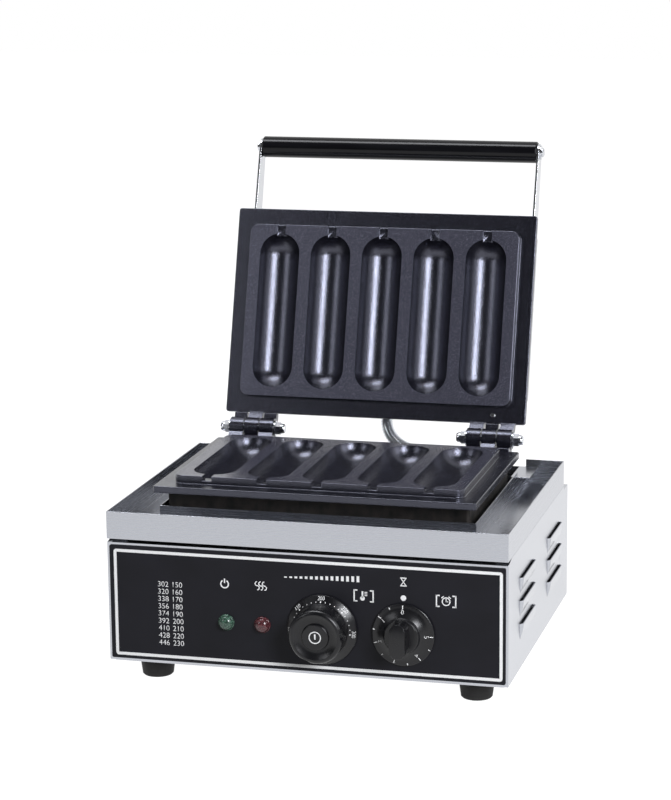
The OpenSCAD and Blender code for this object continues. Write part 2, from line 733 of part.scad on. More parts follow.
// The casting that serves as the lower plate and, turned over, as the upper one
module mould_casting() {
    difference() {
        union() {
            slab(plate_w / 2, plate_front_y, plate_rear_y, flange_z, flange_top_z, flange_corner_r);
            slab(panel_w / 2, plate_mid_y - panel_d / 2, plate_mid_y + panel_d / 2, flange_top_z,
                panel_top_z, panel_corner_r);
            slab(panel_w / 2 - sole_inset, plate_mid_y - panel_d / 2 + sole_end_inset,
                 plate_mid_y + panel_d / 2 - sole_end_inset, sole_z, flange_z, panel_corner_r);
            for (x = [-lug_step, lug_step]) lug(-hinge_x + x);
            lug(hinge_x);
        }
        cavity_places() cavity();
        rod_x(-plate_w / 2, plate_w / 2, hinge_y, hinge_z, pin_d / 2 + run_clear);
        clamp_screw_places() translate([0, 0, sole_z - cut])
            cylinder(d = clamp_screw_d + 2 * slip_clear, h = clamp_screw_depth + cut + slip_clear);
        translate([-hinge_x, plate_rear_y - flange_end / 2, flange_top_z - flange_screw_len - slip_clear])
            cylinder(d = flange_screw_d + 2 * slip_clear, h = flange_t);
    }
}

flange_screw_d = 3;
flange_screw_len = 4.5;

// Small screw on the hinge side of the flange
module flange_screw() {
    translate([-hinge_x, plate_rear_y - flange_end / 2, flange_top_z])
        pan_screw(2.4, 1.4, flange_screw_d, flange_screw_len);
}

// Tubular element that winds back and forth under the ribs
module heater() {
    for (k = [0 : leg_count - 1]) let (x = (k - (leg_count - 1) / 2) * cavity_pitch) {
        rod_y(x, plate_mid_y - leg_half, plate_mid_y + leg_half, heater_z, heater_d / 2);
        if (k < leg_count - 1) {
            side = k % 2 == 0 ? -1 : 1;
            translate([x + leg_r, plate_mid_y + side * leg_half, heater_z])
                rotate([0, 0, side > 0 ? 0 : 180]) rotate_extrude(angle = 180) translate([leg_r, 0])
                    circle(d = heater_d);
        }
    }
    // Cold ends of the first and last legs
    for (k = [0, leg_count - 1]) let (x = (k - (leg_count - 1) / 2) * cavity_pitch,
                                     side = k == 0 ? 1 : (leg_count % 2 == 0 ? 1 : -1))
        translate([x, plate_mid_y + side * leg_half, heater_z]) rotate([side > 0 ? -90 : 90, 0, 0])
            cylinder(d = heater_d * 0.6, h = terminal_len);
}

module clamp_screw_places() {
    for (x = [-clamp_screw_x, clamp_screw_x], y = [-clamp_dy, clamp_dy]) translate([x, plate_mid_y + y, 0])
        children();
}

// Two flat bars that press the element against the plate
module heater_clamps() {
    for (y = [-clamp_dy, clamp_dy]) difference() {
        translate([0, plate_mid_y + y, clamp_z]) linear_extrude(clamp_t)
            round_rect(2 * clamp_half_w, clamp_w, 4);
        clamp_screw_places() translate([0, 0, clamp_z - cut])
            cylinder(d = clamp_screw_d + 2 * hole_clear, h = clamp_t + 2 * cut);
    }
}

module clamp_screws() {
    clamp_screw_places() translate([0, 0, clamp_z]) mirror([0, 0, 1])
        pan_screw(clamp_head_r, clamp_head_h, clamp_screw_d, sole_z - clamp_z + clamp_screw_depth);
}

module lower_mould_plate() color(nonstick) mould_casting();
module lower_heater() color(dark_steel) heater();
module lower_heater_clamps() color(stainless) heater_clamps();
module lower_clamp_screws() color(bright_steel) clamp_screws();
module lower_flange_screw() color(bright_steel) flange_screw();

module upper_mould_plate() color(nonstick) on_open_lid() turned_over() mould_casting();
module upper_heater() color(dark_steel) on_open_lid() turned_over() heater();
module upper_heater_clamps() color(stainless) on_open_lid() turned_over() heater_clamps();
module upper_clamp_screws() color(bright_steel) on_open_lid() turned_over() clamp_screws();
module upper_flange_screw() color(bright_steel) on_open_lid() turned_over() flange_screw();

module hinge_pin(x) color(bright_steel)
    rod_x(x - pin_len / 2, x + pin_len / 2, hinge_y, hinge_z, pin_d / 2);
module hinge_pin_left() hinge_pin(-hinge_x);
module hinge_pin_right() hinge_pin(hinge_x);

// Places on the outer faces of the four outermost lugs, with Z pointing away from the hinge
module hinge_end_places() {
    for (x = [-hinge_x, hinge_x], side = [-1, 1])
        translate([x + side * (lug_group_w / 2 + lug_end_gap), hinge_y, hinge_z]) rotate([0, side * 90, 0])
            children();
}

module hinge_washers() color(bright_steel) hinge_end_places() difference() {
    cylinder(d = washer_d, h = washer_t);
    translate([0, 0, -cut]) cylinder(d = pin_d + 2 * slip_clear, h = washer_t + 2 * cut);
}

module hinge_cap_nuts() color(bright_steel) hinge_end_places() translate([0, 0, washer_t])
    cap_nut(cap_nut_af, cap_nut_h, pin_d / 2 + run_clear, nut_bore_depth);

module thermostat_body() color(dark_steel) difference() {
    union() {
        on_panel(temperature_x)
            translate([-thermostat_size.x / 2, -thermostat_size.z / 2,
                -thermostat_size.y - fascia_t - sheet_t])
            cube([thermostat_size.x, thermostat_size.z, thermostat_size.y]);
        on_panel(temperature_x) translate([0, 0, -fascia_t - sheet_t - cut])
            cylinder(r = bush_r, h = fascia_t + sheet_t + cut - slip_clear);
    }
    on_panel(temperature_x) translate([0, 0, -fascia_t - sheet_t - spindle_in - slip_clear])
        cylinder(d = spindle_d + 2 * run_clear, h = spindle_in + fascia_t + sheet_t + cut);
}

// Bulb under the plate, with its capillary down to the thermostat
module thermostat_bulb() color(copper) {
    bulb_z = sole_z - bulb_d / 2 - seat_clear;
    bulb_y = plate_mid_y - bulb_len / 2;
    body_back_y = wall_back_y + thermostat_size.y;
    body_top_z = control_z + thermostat_size.z / 2;
    bend_z = body_top_z + capillary_rise;
    drop_y = body_back_y - thermostat_size.y / 2;
    r = capillary_d / 2;
    rod_y(capillary_x, bulb_y, bulb_y + bulb_len, bulb_z, bulb_d / 2);
    rod_y(capillary_x, capillary_y, bulb_y, bulb_z, r);
    translate([capillary_x, capillary_y, bulb_z]) sphere(r);
    translate([capillary_x, capillary_y, bend_z]) cylinder(r = r, h = bulb_z - bend_z);
    translate([capillary_x, capillary_y, bend_z]) sphere(r);
    rod_y(capillary_x, drop_y, capillary_y, bend_z, r);
    translate([capillary_x, drop_y, bend_z]) sphere(r);
    translate([capillary_x, drop_y, body_top_z + slip_clear])
        cylinder(r = r, h = capillary_rise - slip_clear);
}

module timer_body() color(dark_steel) difference() {
    union() {
        on_panel(timer_x)
            translate([-timer_size.x / 2, -timer_size.z / 2, -timer_size.y - fascia_t - sheet_t])
            cube([timer_size.x, timer_size.z, timer_size.y]);
        on_panel(timer_x) translate([0, 0, -fascia_t - sheet_t - cut])
            cylinder(r = bush_r, h = fascia_t + sheet_t + cut - slip_clear);
    }
    on_panel(timer_x) translate([0, 0, -fascia_t - sheet_t - spindle_in - slip_clear])
        cylinder(d = spindle_d + 2 * run_clear, h = spindle_in + fascia_t + sheet_t + cut);
}

lamp_depth = 26;
lamp_nut_t = 3;
lamp_nut_out = 2.5;

module lamp_holders() color(black_gloss) for (x = [power_lamp_x, heat_lamp_x]) on_panel(x) {
    translate([0, 0, -fascia_t - lamp_depth]) cylinder(r = lamp_neck_r, h = lamp_depth + fascia_t);
    translate([0, 0, -fascia_t - sheet_t - lamp_nut_t])
        cylinder(r = lamp_neck_r + lamp_nut_out, h = lamp_nut_t);
}

// Domed lens with a narrow rim
module lamp_lens() {
    rim_h = 1.6;
    dome_r = lamp_r - 0.8;
    rotate_extrude() polygon(concat(
        [[0, 0], [lamp_r, 0], [lamp_r, rim_h * 0.6], [dome_r, rim_h]],
        [for (a = [10 : 10 : 90]) [dome_r * cos(a), rim_h + dome_r * 0.75 * sin(a)]]
    ));
}

module power_lamp_lens() color(lamp_green) on_panel(power_lamp_x) lamp_lens();
module heat_lamp_lens() color(lamp_red) on_panel(heat_lamp_x) lamp_lens();

terminal_size = [66, 22, 20];
terminal_offset = 40;
terminal_back = 60;
terminal_pitch = 10;
terminal_floor = 8;
terminal_well_d = 6;

module terminal_block() color(cream_plastic) difference() {
    translate([mains_x + terminal_offset - terminal_size.x / 2, rear_y - terminal_back, body_z])
        cube(terminal_size);
    for (k = [-2.5 : 1 : 2.5])
        translate([mains_x + terminal_offset + k * terminal_pitch,
            rear_y - terminal_back + terminal_size.y / 2, body_z + terminal_floor])
            cylinder(d = terminal_well_d, h = terminal_size.z);
}

foot_x = base_w / 2 - foot_inset_x;
function foot_y(side) = side < 0 ? front_y + foot_inset_y : rear_y - foot_inset_y;
foot_screw_d = 4;
foot_bottom_d = foot_d * 0.86;
foot_recess_d = 12;
foot_recess_h = 8;
foot_head_h = 2.4;

module foot_places() {
    for (x = [-1, 1], y = [-1, 1]) translate([x * foot_x, foot_y(y), 0]) children();
}

// Tapered rubber foot with a recess for its screw
module foot(x, y) color(black_rubber) translate([x * foot_x, foot_y(y), 0]) {
    toe = 1.2;
    hole_r = foot_screw_d / 2 + hole_clear;
    rotate_extrude() polygon([
        [foot_recess_d / 2, 0], [foot_bottom_d / 2 - toe, 0], [foot_bottom_d / 2, toe],
        [foot_d / 2, foot_h - 1], [foot_d / 2 - 0.6, foot_h], [hole_r, foot_h],
        [hole_r, foot_recess_h], [foot_recess_d / 2, foot_recess_h]
    ]);
}
module foot_front_left() foot(-1, -1);
module foot_front_right() foot(1, -1);
module foot_rear_left() foot(-1, 1);
module foot_rear_right() foot(1, 1);

module foot_screws() color(bright_steel) foot_places() translate([0, 0, foot_recess_h]) mirror([0, 0, 1])
    pan_screw(foot_recess_d / 2 - 1.5, foot_head_h, foot_screw_d,
        foot_h - foot_recess_h + bottom_t + foot_screw_end);

// Gland of the conduit, standing on Z: a hex outside the wall, a shank through it and a nut inside
module conduit_gland() {
    hex_h = gland_out * 0.7;
    collar_r = gland_r * 0.84;
    difference() {
        union() {
            cylinder(r = gland_r, h = hex_h, $fn = 6);
            cylinder(r = collar_r, h = gland_out);
            translate([0, 0, -sheet_t - gland_nut_t])
                cylinder(r = gland_shank_r, h = sheet_t + gland_nut_t + cut);
            translate([0, 0, -sheet_t - gland_nut_t]) cylinder(r = gland_r, h = gland_nut_t, $fn = 6);
        }
        translate([0, 0, -sheet_t - gland_nut_t - cut])
            cylinder(r = gland_bore_r, h = gland_out + sheet_t + gland_nut_t + 2 * cut);
    }
}

module conduit_gland_base() color(bright_steel)
    translate([conduit_base_x, rear_y, conduit_base_z]) rotate([-90, 0, 0]) conduit_gland();
module conduit_gland_lid() color(bright_steel) on_open_lid()
    translate([conduit_lid_x, cover_rear_y, hinge_z + conduit_rise]) rotate([-90, 0, 0]) conduit_gland();

mains_gland_len = 16;
mains_throat = 1.5;
mains_seat_z = 2;
mains_hex_out = 4;
mains_hex_h = 5;
mains_dome_r = mains_shank_r + 2.6;

// Cable gland of the mains lead, with a round dome nut outside
module mains_gland() color(black_gloss) translate([mains_x, rear_y, conduit_base_z]) rotate([-90, 0, 0])
    difference() {
    union() {
        cylinder(r = mains_shank_r + mains_hex_out, h = mains_hex_h, $fn = 6);
        rotate_extrude() polygon([
            [0, mains_hex_h], [mains_dome_r, mains_hex_h], [mains_dome_r, mains_gland_len - 5],
            [mains_dome_r - 1, mains_gland_len - 2], [mains_shank_r - 0.6, mains_gland_len],
            [0, mains_gland_len]
        ]);
        translate([0, 0, -sheet_t - gland_nut_t])
            cylinder(r = mains_shank_r, h = sheet_t + gland_nut_t + cut);
        translate([0, 0, -sheet_t - gland_nut_t])
            cylinder(r = mains_shank_r + mains_hex_out, h = gland_nut_t, $fn = 6);
    }
    translate([0, 0, -sheet_t - gland_nut_t - cut])
        cylinder(d = mains_bore + mains_throat, h = mains_seat_z + sheet_t + gland_nut_t + cut);
    cylinder(d = mains_bore, h = mains_gland_len + cut);
}

// Ribbed metal hose with its bore, one closed skin of rings
module conduit() color(stainless) {
    crest = conduit_d / 2;
    root = conduit_d / 2 - rib_depth;
    bore_rings = 40;
    rings = concat(
        [conduit_ring(0, root)],
        [for (k = [0 : rib_count - 1], half = [0, 1])
            conduit_ring((k + 0.25 + 0.5 * half) * rib_step, half == 0 ? crest : root)],
        [conduit_ring(conduit_len, root)],
        [for (k = [bore_rings : -1 : 0]) conduit_ring(conduit_len * k / bore_rings, conduit_bore / 2)]
    );
    count = len(rings);
    polyhedron(
        points = [for (ring = rings, p = ring) p],
        faces = [for (i = [0 : count - 1], k = [0 : conduit_sides - 1], half = [0, 1])
            let (a = i * conduit_sides, b = ((i + 1) % count) * conduit_sides, n = (k + 1) % conduit_sides)
            half == 0 ? [a + k, a + n, b + k] : [a + n, b + n, b + k]]
    );
}

module lid_stud_places() {
    for (x = [-stud_x, stud_x], y = [-stud_dy, stud_dy]) translate([x, plate_mid_y + y, 0]) children();
}

// Stainless shell over the upper heater
module lid_cover() color(stainless) on_open_lid() difference() {
    slab(cover_half_w, cover_front_y, cover_rear_y, cover_low_z, cover_top_z, cover_corner_r);
    slab(cover_half_w - sheet_t, cover_front_y + sheet_t, cover_rear_y - sheet_t, cover_low_z - cut,
         cover_top_z - sheet_t, cover_corner_r - sheet_t);
    lid_stud_places() translate([0, 0, cover_top_z - 2 * cut])
        cylinder(d = stud_d + 2 * hole_clear, h = 4 * cut);
    arm_screw_places() rotate([0, 90, 0]) translate([0, 0, -3 * cut])
        cylinder(d = arm_screw_d + 2 * hole_clear, h = 4 * cut);
    rod_y(conduit_lid_x, cover_rear_y - 2 * cut, cover_rear_y + cut, hinge_z + conduit_rise,
        gland_shank_r + hole_clear);
}

module lid_studs() color(bright_steel) on_open_lid() lid_stud_places()
    translate([0, 0, 2 * hinge_z - sole_z])
        cylinder(d = stud_d, h = cover_top_z - 2 * hinge_z + sole_z + lid_nut_bore - seat_clear);

module lid_cap_nuts() color(bright_steel) on_open_lid() lid_stud_places() translate([0, 0, cover_top_z])
    cap_nut(lid_nut_af, lid_nut_h, stud_d / 2 + slip_clear, lid_nut_bore);

// Screw places on both sides of the lid cover, with X pointing out of the cover
module arm_screw_places() {
    for (side = [0, 1]) mirror([side, 0, 0]) for (k = [0, 1])
        translate([cover_half_w, arm_root_y - arm_root_w / 2 - k * arm_screw_pitch, arm_root_z]) children();
}

// Flat arm with round ends, tapering from the lid to the grip: one closed outline in the plane of the arm
module arm_outline() {
    root_r = arm_root_w / 2;
    tip_r = arm_tip_w / 2;
    root = [arm_root_y - root_r, arm_root_z];
    tip = [grip_y, grip_z];
    heading = atan2(tip.y - root.y, tip.x - root.x);
    lean = acos((root_r - tip_r) / norm(tip - root));
    steps = 16;
    polygon(concat(
        [for (k = [0 : steps]) let (a = heading - lean + 2 * lean * k / steps)
            tip + tip_r * [cos(a), sin(a)]],
        [for (k = [0 : steps]) let (a = heading + lean + (360 - 2 * lean) * k / steps)
            root + root_r * [cos(a), sin(a)]]
    ));
}

// Right arm, beside the shut lid
module handle_arm() difference() {
    translate([cover_half_w, 0, 0]) rotate([90, 0, 90]) linear_extrude(arm_t) arm_outline();
    rod_x(cover_half_w - cut, cover_half_w + arm_t + cut, grip_y, grip_z, arm_screw_d / 2 + hole_clear);
    arm_screw_places() rotate([0, 90, 0]) translate([0, 0, -cut])
        cylinder(d = arm_screw_d + 2 * hole_clear, h = arm_t + 2 * cut);
}

module handle_arm_right() color(bright_steel) on_open_lid() handle_arm();
module handle_arm_left() color(bright_steel) on_open_lid() mirror([1, 0, 0]) handle_arm();

module arm_screws() color(bright_steel) on_open_lid() arm_screw_places() translate([arm_t, 0, 0])
    rotate([0, 90, 0])
    pan_screw(screw_head_r, screw_head_h, arm_screw_d, arm_t + sheet_t + arm_screw_end);

grip_screw_depth = 18;
grip_edge = 1.2;

module handle_grip() color(black_gloss) on_open_lid() translate([-grip_len / 2, grip_y, grip_z])
    rotate([0, 90, 0]) difference() {
    rotate_extrude() polygon([
        [0, 0], [grip_d / 2 - grip_edge, 0], [grip_d / 2, grip_edge], [grip_d / 2, grip_len - grip_edge],
        [grip_d / 2 - grip_edge, grip_len], [0, grip_len]
    ]);
    for (z = [-cut, grip_len - grip_screw_depth]) translate([0, 0, z])
        cylinder(d = arm_screw_d + 2 * slip_clear, h = grip_screw_depth + cut);
}

// Places on the outer faces of the two arms at the grip, with X pointing out
module grip_end_places() {
    for (side = [0, 1]) mirror([side, 0, 0]) translate([cover_half_w + arm_t, grip_y, grip_z]) children();
}

module handle_washers() color(bright_steel) on_open_lid() grip_end_places() rotate([0, 90, 0])
    difference() {
    cylinder(d = arm_tip_w - 3, h = washer_t);
    translate([0, 0, -cut]) cylinder(d = arm_screw_d + 2 * hole_clear, h = washer_t + 2 * cut);
}

module handle_screws() color(bright_steel) on_open_lid() grip_end_places() translate([washer_t, 0, 0])
    rotate([0, 90, 0])
    pan_screw(screw_head_r, screw_head_h, arm_screw_d, washer_t + arm_t + grip_screw_depth - grip_screw_end);

scallop_count = 3;
scallop_r = 16;
scallop_depth = 1.8;
knob_wall = 2.5;
hub_r = 6.5;
temp_bore_h = temp_knob_h * 0.6;
timer_bore_h = timer_knob_h * 0.7;

// Temperature knob: numbered skirt, and a dished cap with finger scallops
module temperature_knob() color(black_gloss) on_panel(temperature_x) difference() {
    rim = 2.4;
    cone = 7;
    edge_r = 4;
    dish_r = 12;
    dish_depth = 2.6;
    first_scallop = 127;
    h = temp_knob_h;
    rotate_extrude() polygon(concat(
        [[0, knob_gap], [temp_skirt_r - 0.5, knob_gap], [temp_skirt_r, knob_gap + 0.5], [temp_skirt_r, rim],
         [temp_skirt_r - 0.8, rim + 0.8], [temp_cap_r + 1, cone], [temp_cap_r, cone + 1]],
        [for (a = [0 : 15 : 90]) [temp_cap_r - edge_r + edge_r * cos(a), h - edge_r + edge_r * sin(a)]],
        [for (k = [1 : 6]) let (t = k / 6)
            [(1 - t) * (temp_cap_r - edge_r) + t * dish_r, h - dish_depth * sin(90 * t)]],
        [[11.4, h - 0.9], [10.6, h - 0.4], [9.6, h - 0.6], [0, h - 1]]
    ));
    for (k = [0 : scallop_count - 1]) rotate([0, 0, first_scallop - 360 / scallop_count * k])
        translate([temp_cap_r + scallop_r - scallop_depth, 0, cone + 2])
        cylinder(r = scallop_r, h = h);
    translate([0, 0, knob_gap - cut]) difference() {
        cylinder(r = temp_cap_r - knob_wall - scallop_depth, h = temp_bore_h);
        cylinder(r = hub_r, h = h);
    }
    cylinder(d = spindle_d + 2 * run_clear, h = temp_bore_h + slip_clear);
}

module thermostat_spindle() color(bright_steel) on_panel(temperature_x)
    translate([0, 0, -fascia_t - sheet_t - spindle_in])
        cylinder(d = spindle_d, h = spindle_in + fascia_t + sheet_t + temp_bore_h);

// Timer knob: numbered skirt, round boss and a bar grip
module timer_knob() color(black_gloss) on_panel(timer_x) difference() {
    rim = 3;
    boss = 10;
    hollow_h = 7;
    timer_crown_r = 60;
    h = timer_knob_h;
    union() {
        rotate_extrude() polygon(concat(
            [[0, knob_gap], [timer_skirt_r - 0.5, knob_gap], [timer_skirt_r, knob_gap + 0.5],
                [timer_skirt_r, rim - 0.8],
             [timer_skirt_r - 0.8, rim]],
            [for (k = [1 : 6]) let (t = k / 6)
                [timer_skirt_r - 0.8 - t * (timer_skirt_r - timer_boss_r - 1.6),
                    rim + (boss - 3 - rim) * (1 - cos(90 * t))]],
            [[timer_boss_r, boss - 1], [timer_boss_r - 1, boss], [0, boss]]
        ));
        intersection() {
            linear_extrude(h) round_rect(timer_grip_w, 2 * timer_boss_r, timer_grip_w / 2 - 0.01);
            translate([0, 0, h - timer_crown_r]) rotate([0, 90, 0])
                cylinder(r = timer_crown_r, h = 4 * timer_grip_w, center = true);
        }
    }
    translate([0, 0, knob_gap - cut]) difference() {
        cylinder(r = timer_boss_r - knob_wall, h = hollow_h);
        cylinder(r = hub_r, h = h);
    }
    cylinder(d = spindle_d + 2 * run_clear, h = timer_bore_h + slip_clear);
}

module timer_spindle() color(bright_steel) on_panel(timer_x)
    translate([0, 0, -fascia_t - sheet_t - spindle_in])
        cylinder(d = spindle_d, h = spindle_in + fascia_t + sheet_t + timer_bore_h);

translate([0, -frame_y, 0]) {
    base_housing();
    bottom_cover();
    control_fascia();
    drip_tray();
    support_rail_front();
    support_rail_rear();
    plate_posts();
    lower_heat_shield();
    lower_mould_plate();
    lower_heater();
    lower_heater_clamps();
    lower_clamp_screws();
    lower_flange_screw();
    hinge_pin_left();
    hinge_pin_right();
    hinge_washers();
    hinge_cap_nuts();
    thermostat_body();
    thermostat_bulb();
    timer_body();
    lamp_holders();
    terminal_block();
    power_lamp_lens();
    heat_lamp_lens();
    foot_front_left();
    foot_front_right();
    foot_rear_left();
    foot_rear_right();
    foot_screws();
    bottom_screws();
    mains_gland();
    conduit_gland_base();
    conduit();
    upper_mould_plate();
    upper_heater();
    upper_heater_clamps();
    upper_clamp_screws();
    upper_flange_screw();
    lid_cover();
    lid_studs();
    lid_cap_nuts();
    conduit_gland_lid();
    handle_arm_left();
    handle_arm_right();
    arm_screws();
    handle_grip();
    handle_screws();
    handle_washers();
    temperature_knob();
    thermostat_spindle();
    timer_knob();
    timer_spindle();
}
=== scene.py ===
"""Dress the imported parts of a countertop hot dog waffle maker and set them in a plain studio."""
import json
import logging
import math
from collections.abc import Callable, Sequence
from dataclasses import dataclass, field
from enum import Enum

import bmesh
import bpy
from mathutils import Matrix, Vector


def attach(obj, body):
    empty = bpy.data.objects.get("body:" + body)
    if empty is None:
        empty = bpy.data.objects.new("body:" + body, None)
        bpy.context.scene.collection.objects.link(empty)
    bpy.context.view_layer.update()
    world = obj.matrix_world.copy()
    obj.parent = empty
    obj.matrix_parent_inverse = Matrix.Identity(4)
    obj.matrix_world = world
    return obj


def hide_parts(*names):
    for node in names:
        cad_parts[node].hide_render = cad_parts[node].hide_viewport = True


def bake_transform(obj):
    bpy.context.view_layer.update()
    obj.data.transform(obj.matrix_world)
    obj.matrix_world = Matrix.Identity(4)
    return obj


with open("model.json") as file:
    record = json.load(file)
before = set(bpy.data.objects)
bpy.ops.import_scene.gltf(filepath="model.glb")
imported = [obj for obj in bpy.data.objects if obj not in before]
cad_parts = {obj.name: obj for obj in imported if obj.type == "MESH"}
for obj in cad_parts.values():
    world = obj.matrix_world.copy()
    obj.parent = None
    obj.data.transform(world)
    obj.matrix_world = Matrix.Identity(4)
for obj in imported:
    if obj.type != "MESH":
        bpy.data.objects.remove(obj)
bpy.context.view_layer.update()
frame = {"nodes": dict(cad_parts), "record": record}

LOG = logging.getLogger("waffle_maker")
# Metres in a millimetre
MM = 0.001
# The middle of the box lies this many millimetres in front of the shared frame's origin
FRAME_Y = 25.7
# Front of the panel and the two spindles, in millimetres from the middle of the box
PANEL_Y = -143.0
SPINDLE_Z = 60.5
TEMPERATURE_X = 16.0
TIMER_X = 86.0
# Where the upper plate's cooking face looks with the lid open, as it is packed
OPEN_LID_FACE = (0, -0.9563, 0.2924)
# A Mix node's colour sockets share their names with others, so they are found by number
MIX_SHARE, MIX_FIRST, MIX_SECOND, MIX_RESULT = 0, 6, 7, 2
NOISE_ROUGHNESS = 0.55

Tree = bpy.types.NodeTree
Socket = bpy.types.NodeSocket
Strokes = Sequence[tuple[float, ...]]


class Body(Enum):
    """The bodies that pieces ride on."""

    BASE = "base"
    LID = "lid"
    TEMPERATURE = "temperature_knob"
    TIMER = "timer_knob"


def at(x: float, y: float, z: float) -> Vector:
    """Turn millimetres from the middle of the box into a point of the shared frame.

    Args:
        x: Distance to the right.
        y: Distance to the back.
        z: Height above the table.

    Returns:
        The point in metres.
    """
    return Vector((x, y - FRAME_Y, z)) * MM


def linear(code: str) -> tuple[float, float, float, float]:
    """Turn an sRGB hex code into linear colour.

    Args:
        code: Six hex digits after a hash sign.

    Returns:
        Red, green, blue and an alpha of one.
    """
    shares = [int(code[i:i + 2], 16) / 255 for i in (1, 3, 5)]
    light = [s / 12.92 if s <= 0.04045 else ((s + 0.055) / 1.055) ** 2.4 for s in shares]
    return (light[0], light[1], light[2], 1.0)


def add_node(tree: Tree, kind: str, inputs: dict | None = None,
             **settings: object) -> bpy.types.Node:
    """Add a node with its settings, values and links.

    Args:
        tree: The node tree that gets the node.
        kind: The node's type name.
        inputs: Values or output sockets by input name or number.
        settings: Properties of the node.

    Returns:
        The new node.
    """
    node = tree.nodes.new(kind)
    for key, value in settings.items():
        setattr(node, key, value)
    for key, value in (inputs or {}).items():
        if isinstance(value, Socket):
            tree.links.new(value, node.inputs[key])
        else:
            node.inputs[key].default_value = value
    return node


@dataclass(frozen=True)
class Pattern:
    """A noise whose spots have a size in millimetres along X, Y and Z."""

    size_mm: tuple[float, float, float]
    detail: float = 2.0
    # Most of the noise lies in this band, which is spread over two tones or two glosses
    band: tuple[float, float] = (0.3, 0.7)

    def height(self, tree: Tree, place: Socket) -> Socket:
        """Add the noise to a material.

        Args:
            tree: The material's node tree.
            place: Object coordinates.

        Returns:
            The noise value, from about 0.25 to 0.75.
        """
        scaled = add_node(tree, "ShaderNodeMapping", {
            "Vector": place, "Scale": [1 / (s * MM) for s in self.size_mm]})
        return add_node(tree, "ShaderNodeTexNoise", {
            "Vector": scaled.outputs[0], "Scale": 1.0, "Detail": self.detail,
            "Roughness": NOISE_ROUGHNESS}).outputs[0]

    def spread(self, tree: Tree, height: Socket, low: float, high: float) -> Socket:
        """Map the pattern's band to another band.

        Args:
            tree: The material's node tree.
            height: The pattern's value.
            low: The result at the start of the band.
            high: The result at its end.

        Returns:
            The mapped value.
        """
        return add_node(tree, "ShaderNodeMapRange", {
            "Value": height, "From Min": self.band[0], "From Max": self.band[1],
            "To Min": low, "To Max": high}).outputs[0]


@dataclass(frozen=True)
class Cells(Pattern):
    """Cells of one size, such as the prisms inside a lamp lens."""

    band: tuple[float, float] = (0.1, 0.7)

    def height(self, tree: Tree, place: Socket) -> Socket:
        """Add the cells to a material.

        Args:
            tree: The material's node tree.
            place: Object coordinates.

        Returns:
            The distance from a cell's middle, as a share of its size.
        """
        return add_node(tree, "ShaderNodeTexVoronoi", {
            "Vector": place, "Scale": 1 / (self.size_mm[0] * MM)}, feature="F1").outputs[0]


@dataclass(frozen=True)
class Finish:
    """A surface finish that is made once and shared by the pieces that have it.

    One pattern mixes its two tones, one mixes its two glosses, and one may stand out as relief.
    """

    name: str
    first: str
    second: str
    smooth: float
    rough: float
    tone: Pattern
    gloss: Pattern
    bump: Pattern | None = None
    depth_mm: float = 0.0
    strength: float = 1.0
    metal: float = 0.0
    shine: float = 0.5
    sheen: str = "#FFFFFF"
    clear: float = 0.0

    def material(self) -> bpy.types.Material:
        """Make the material, or find it if it was made before.

        Returns:
            The material of this finish.
        """
        made = bpy.data.materials.get(self.name)
        if made is None:
            made = bpy.data.materials.new(self.name)
            made.use_nodes = True
            tree = made.node_tree
            tree.nodes.clear()
            shader = add_node(tree, "ShaderNodeBsdfPrincipled", self.surface(tree))
            add_node(tree, "ShaderNodeOutputMaterial", {"Surface": shader.outputs[0]})
        return made

    def surface(self, tree: Tree) -> dict[str, object]:
        """Lay out the patterns and what they give the shader.

        Args:
            tree: The material's node tree.

        Returns:
            The shader's values and links.
        """
        place = add_node(tree, "ShaderNodeTexCoord").outputs["Object"]
        patterns = dict.fromkeys(p for p in (self.tone, self.gloss, self.bump) if p)
        heights = {p: p.height(tree, place) for p in patterns}
        mix = add_node(tree, "ShaderNodeMix", {
            MIX_SHARE: self.tone.spread(tree, heights[self.tone], 0, 1),
            MIX_FIRST: linear(self.first), MIX_SECOND: linear(self.second)}, data_type="RGBA")
        values = {
            "Base Color": mix.outputs[MIX_RESULT],
            "Roughness": self.gloss.spread(tree, heights[self.gloss], self.smooth, self.rough),
            "Metallic": self.metal, "Specular IOR Level": self.shine,
            "Specular Tint": linear(self.sheen), "Transmission Weight": self.clear}
        if self.bump:
            values["Normal"] = add_node(tree, "ShaderNodeBump", {
                "Height": heights[self.bump], "Distance": self.depth_mm * MM,
                "Strength": self.strength}).outputs[0]
        return values


@dataclass(frozen=True)
class BrushedSheet(Finish):
    """Stainless sheet: level brush lines set tone and gloss, and its roll bends reflections."""

    first: str = "#AFB1B7"
    second: str = "#B8BAC0"
    smooth: float = 0.2
    rough: float = 0.25
    # Real brush lines are about 0.2 mm apart and would vanish, so they are drawn 0.8 mm apart
    tone: Pattern = Pattern((90, 90, 0.8), 3.0)
    gloss: Pattern = tone
    bump: Pattern = Pattern((160, 160, 120), 0.0)
    depth_mm: float = 1.2
    strength: float = 0.2
    metal: float = 1.0


@dataclass(frozen=True)
class PolishedSteel(Finish):
    """Plated or turned steel: fine scuffs change tone and gloss."""

    first: str = "#CACCD1"
    second: str = "#D1D3D7"
    smooth: float = 0.14
    rough: float = 0.17
    tone: Pattern = Pattern((2.5, 2.5, 2.5), 4.0)
    gloss: Pattern = tone
    bump: Pattern = tone
    depth_mm: float = 0.006
    metal: float = 1.0


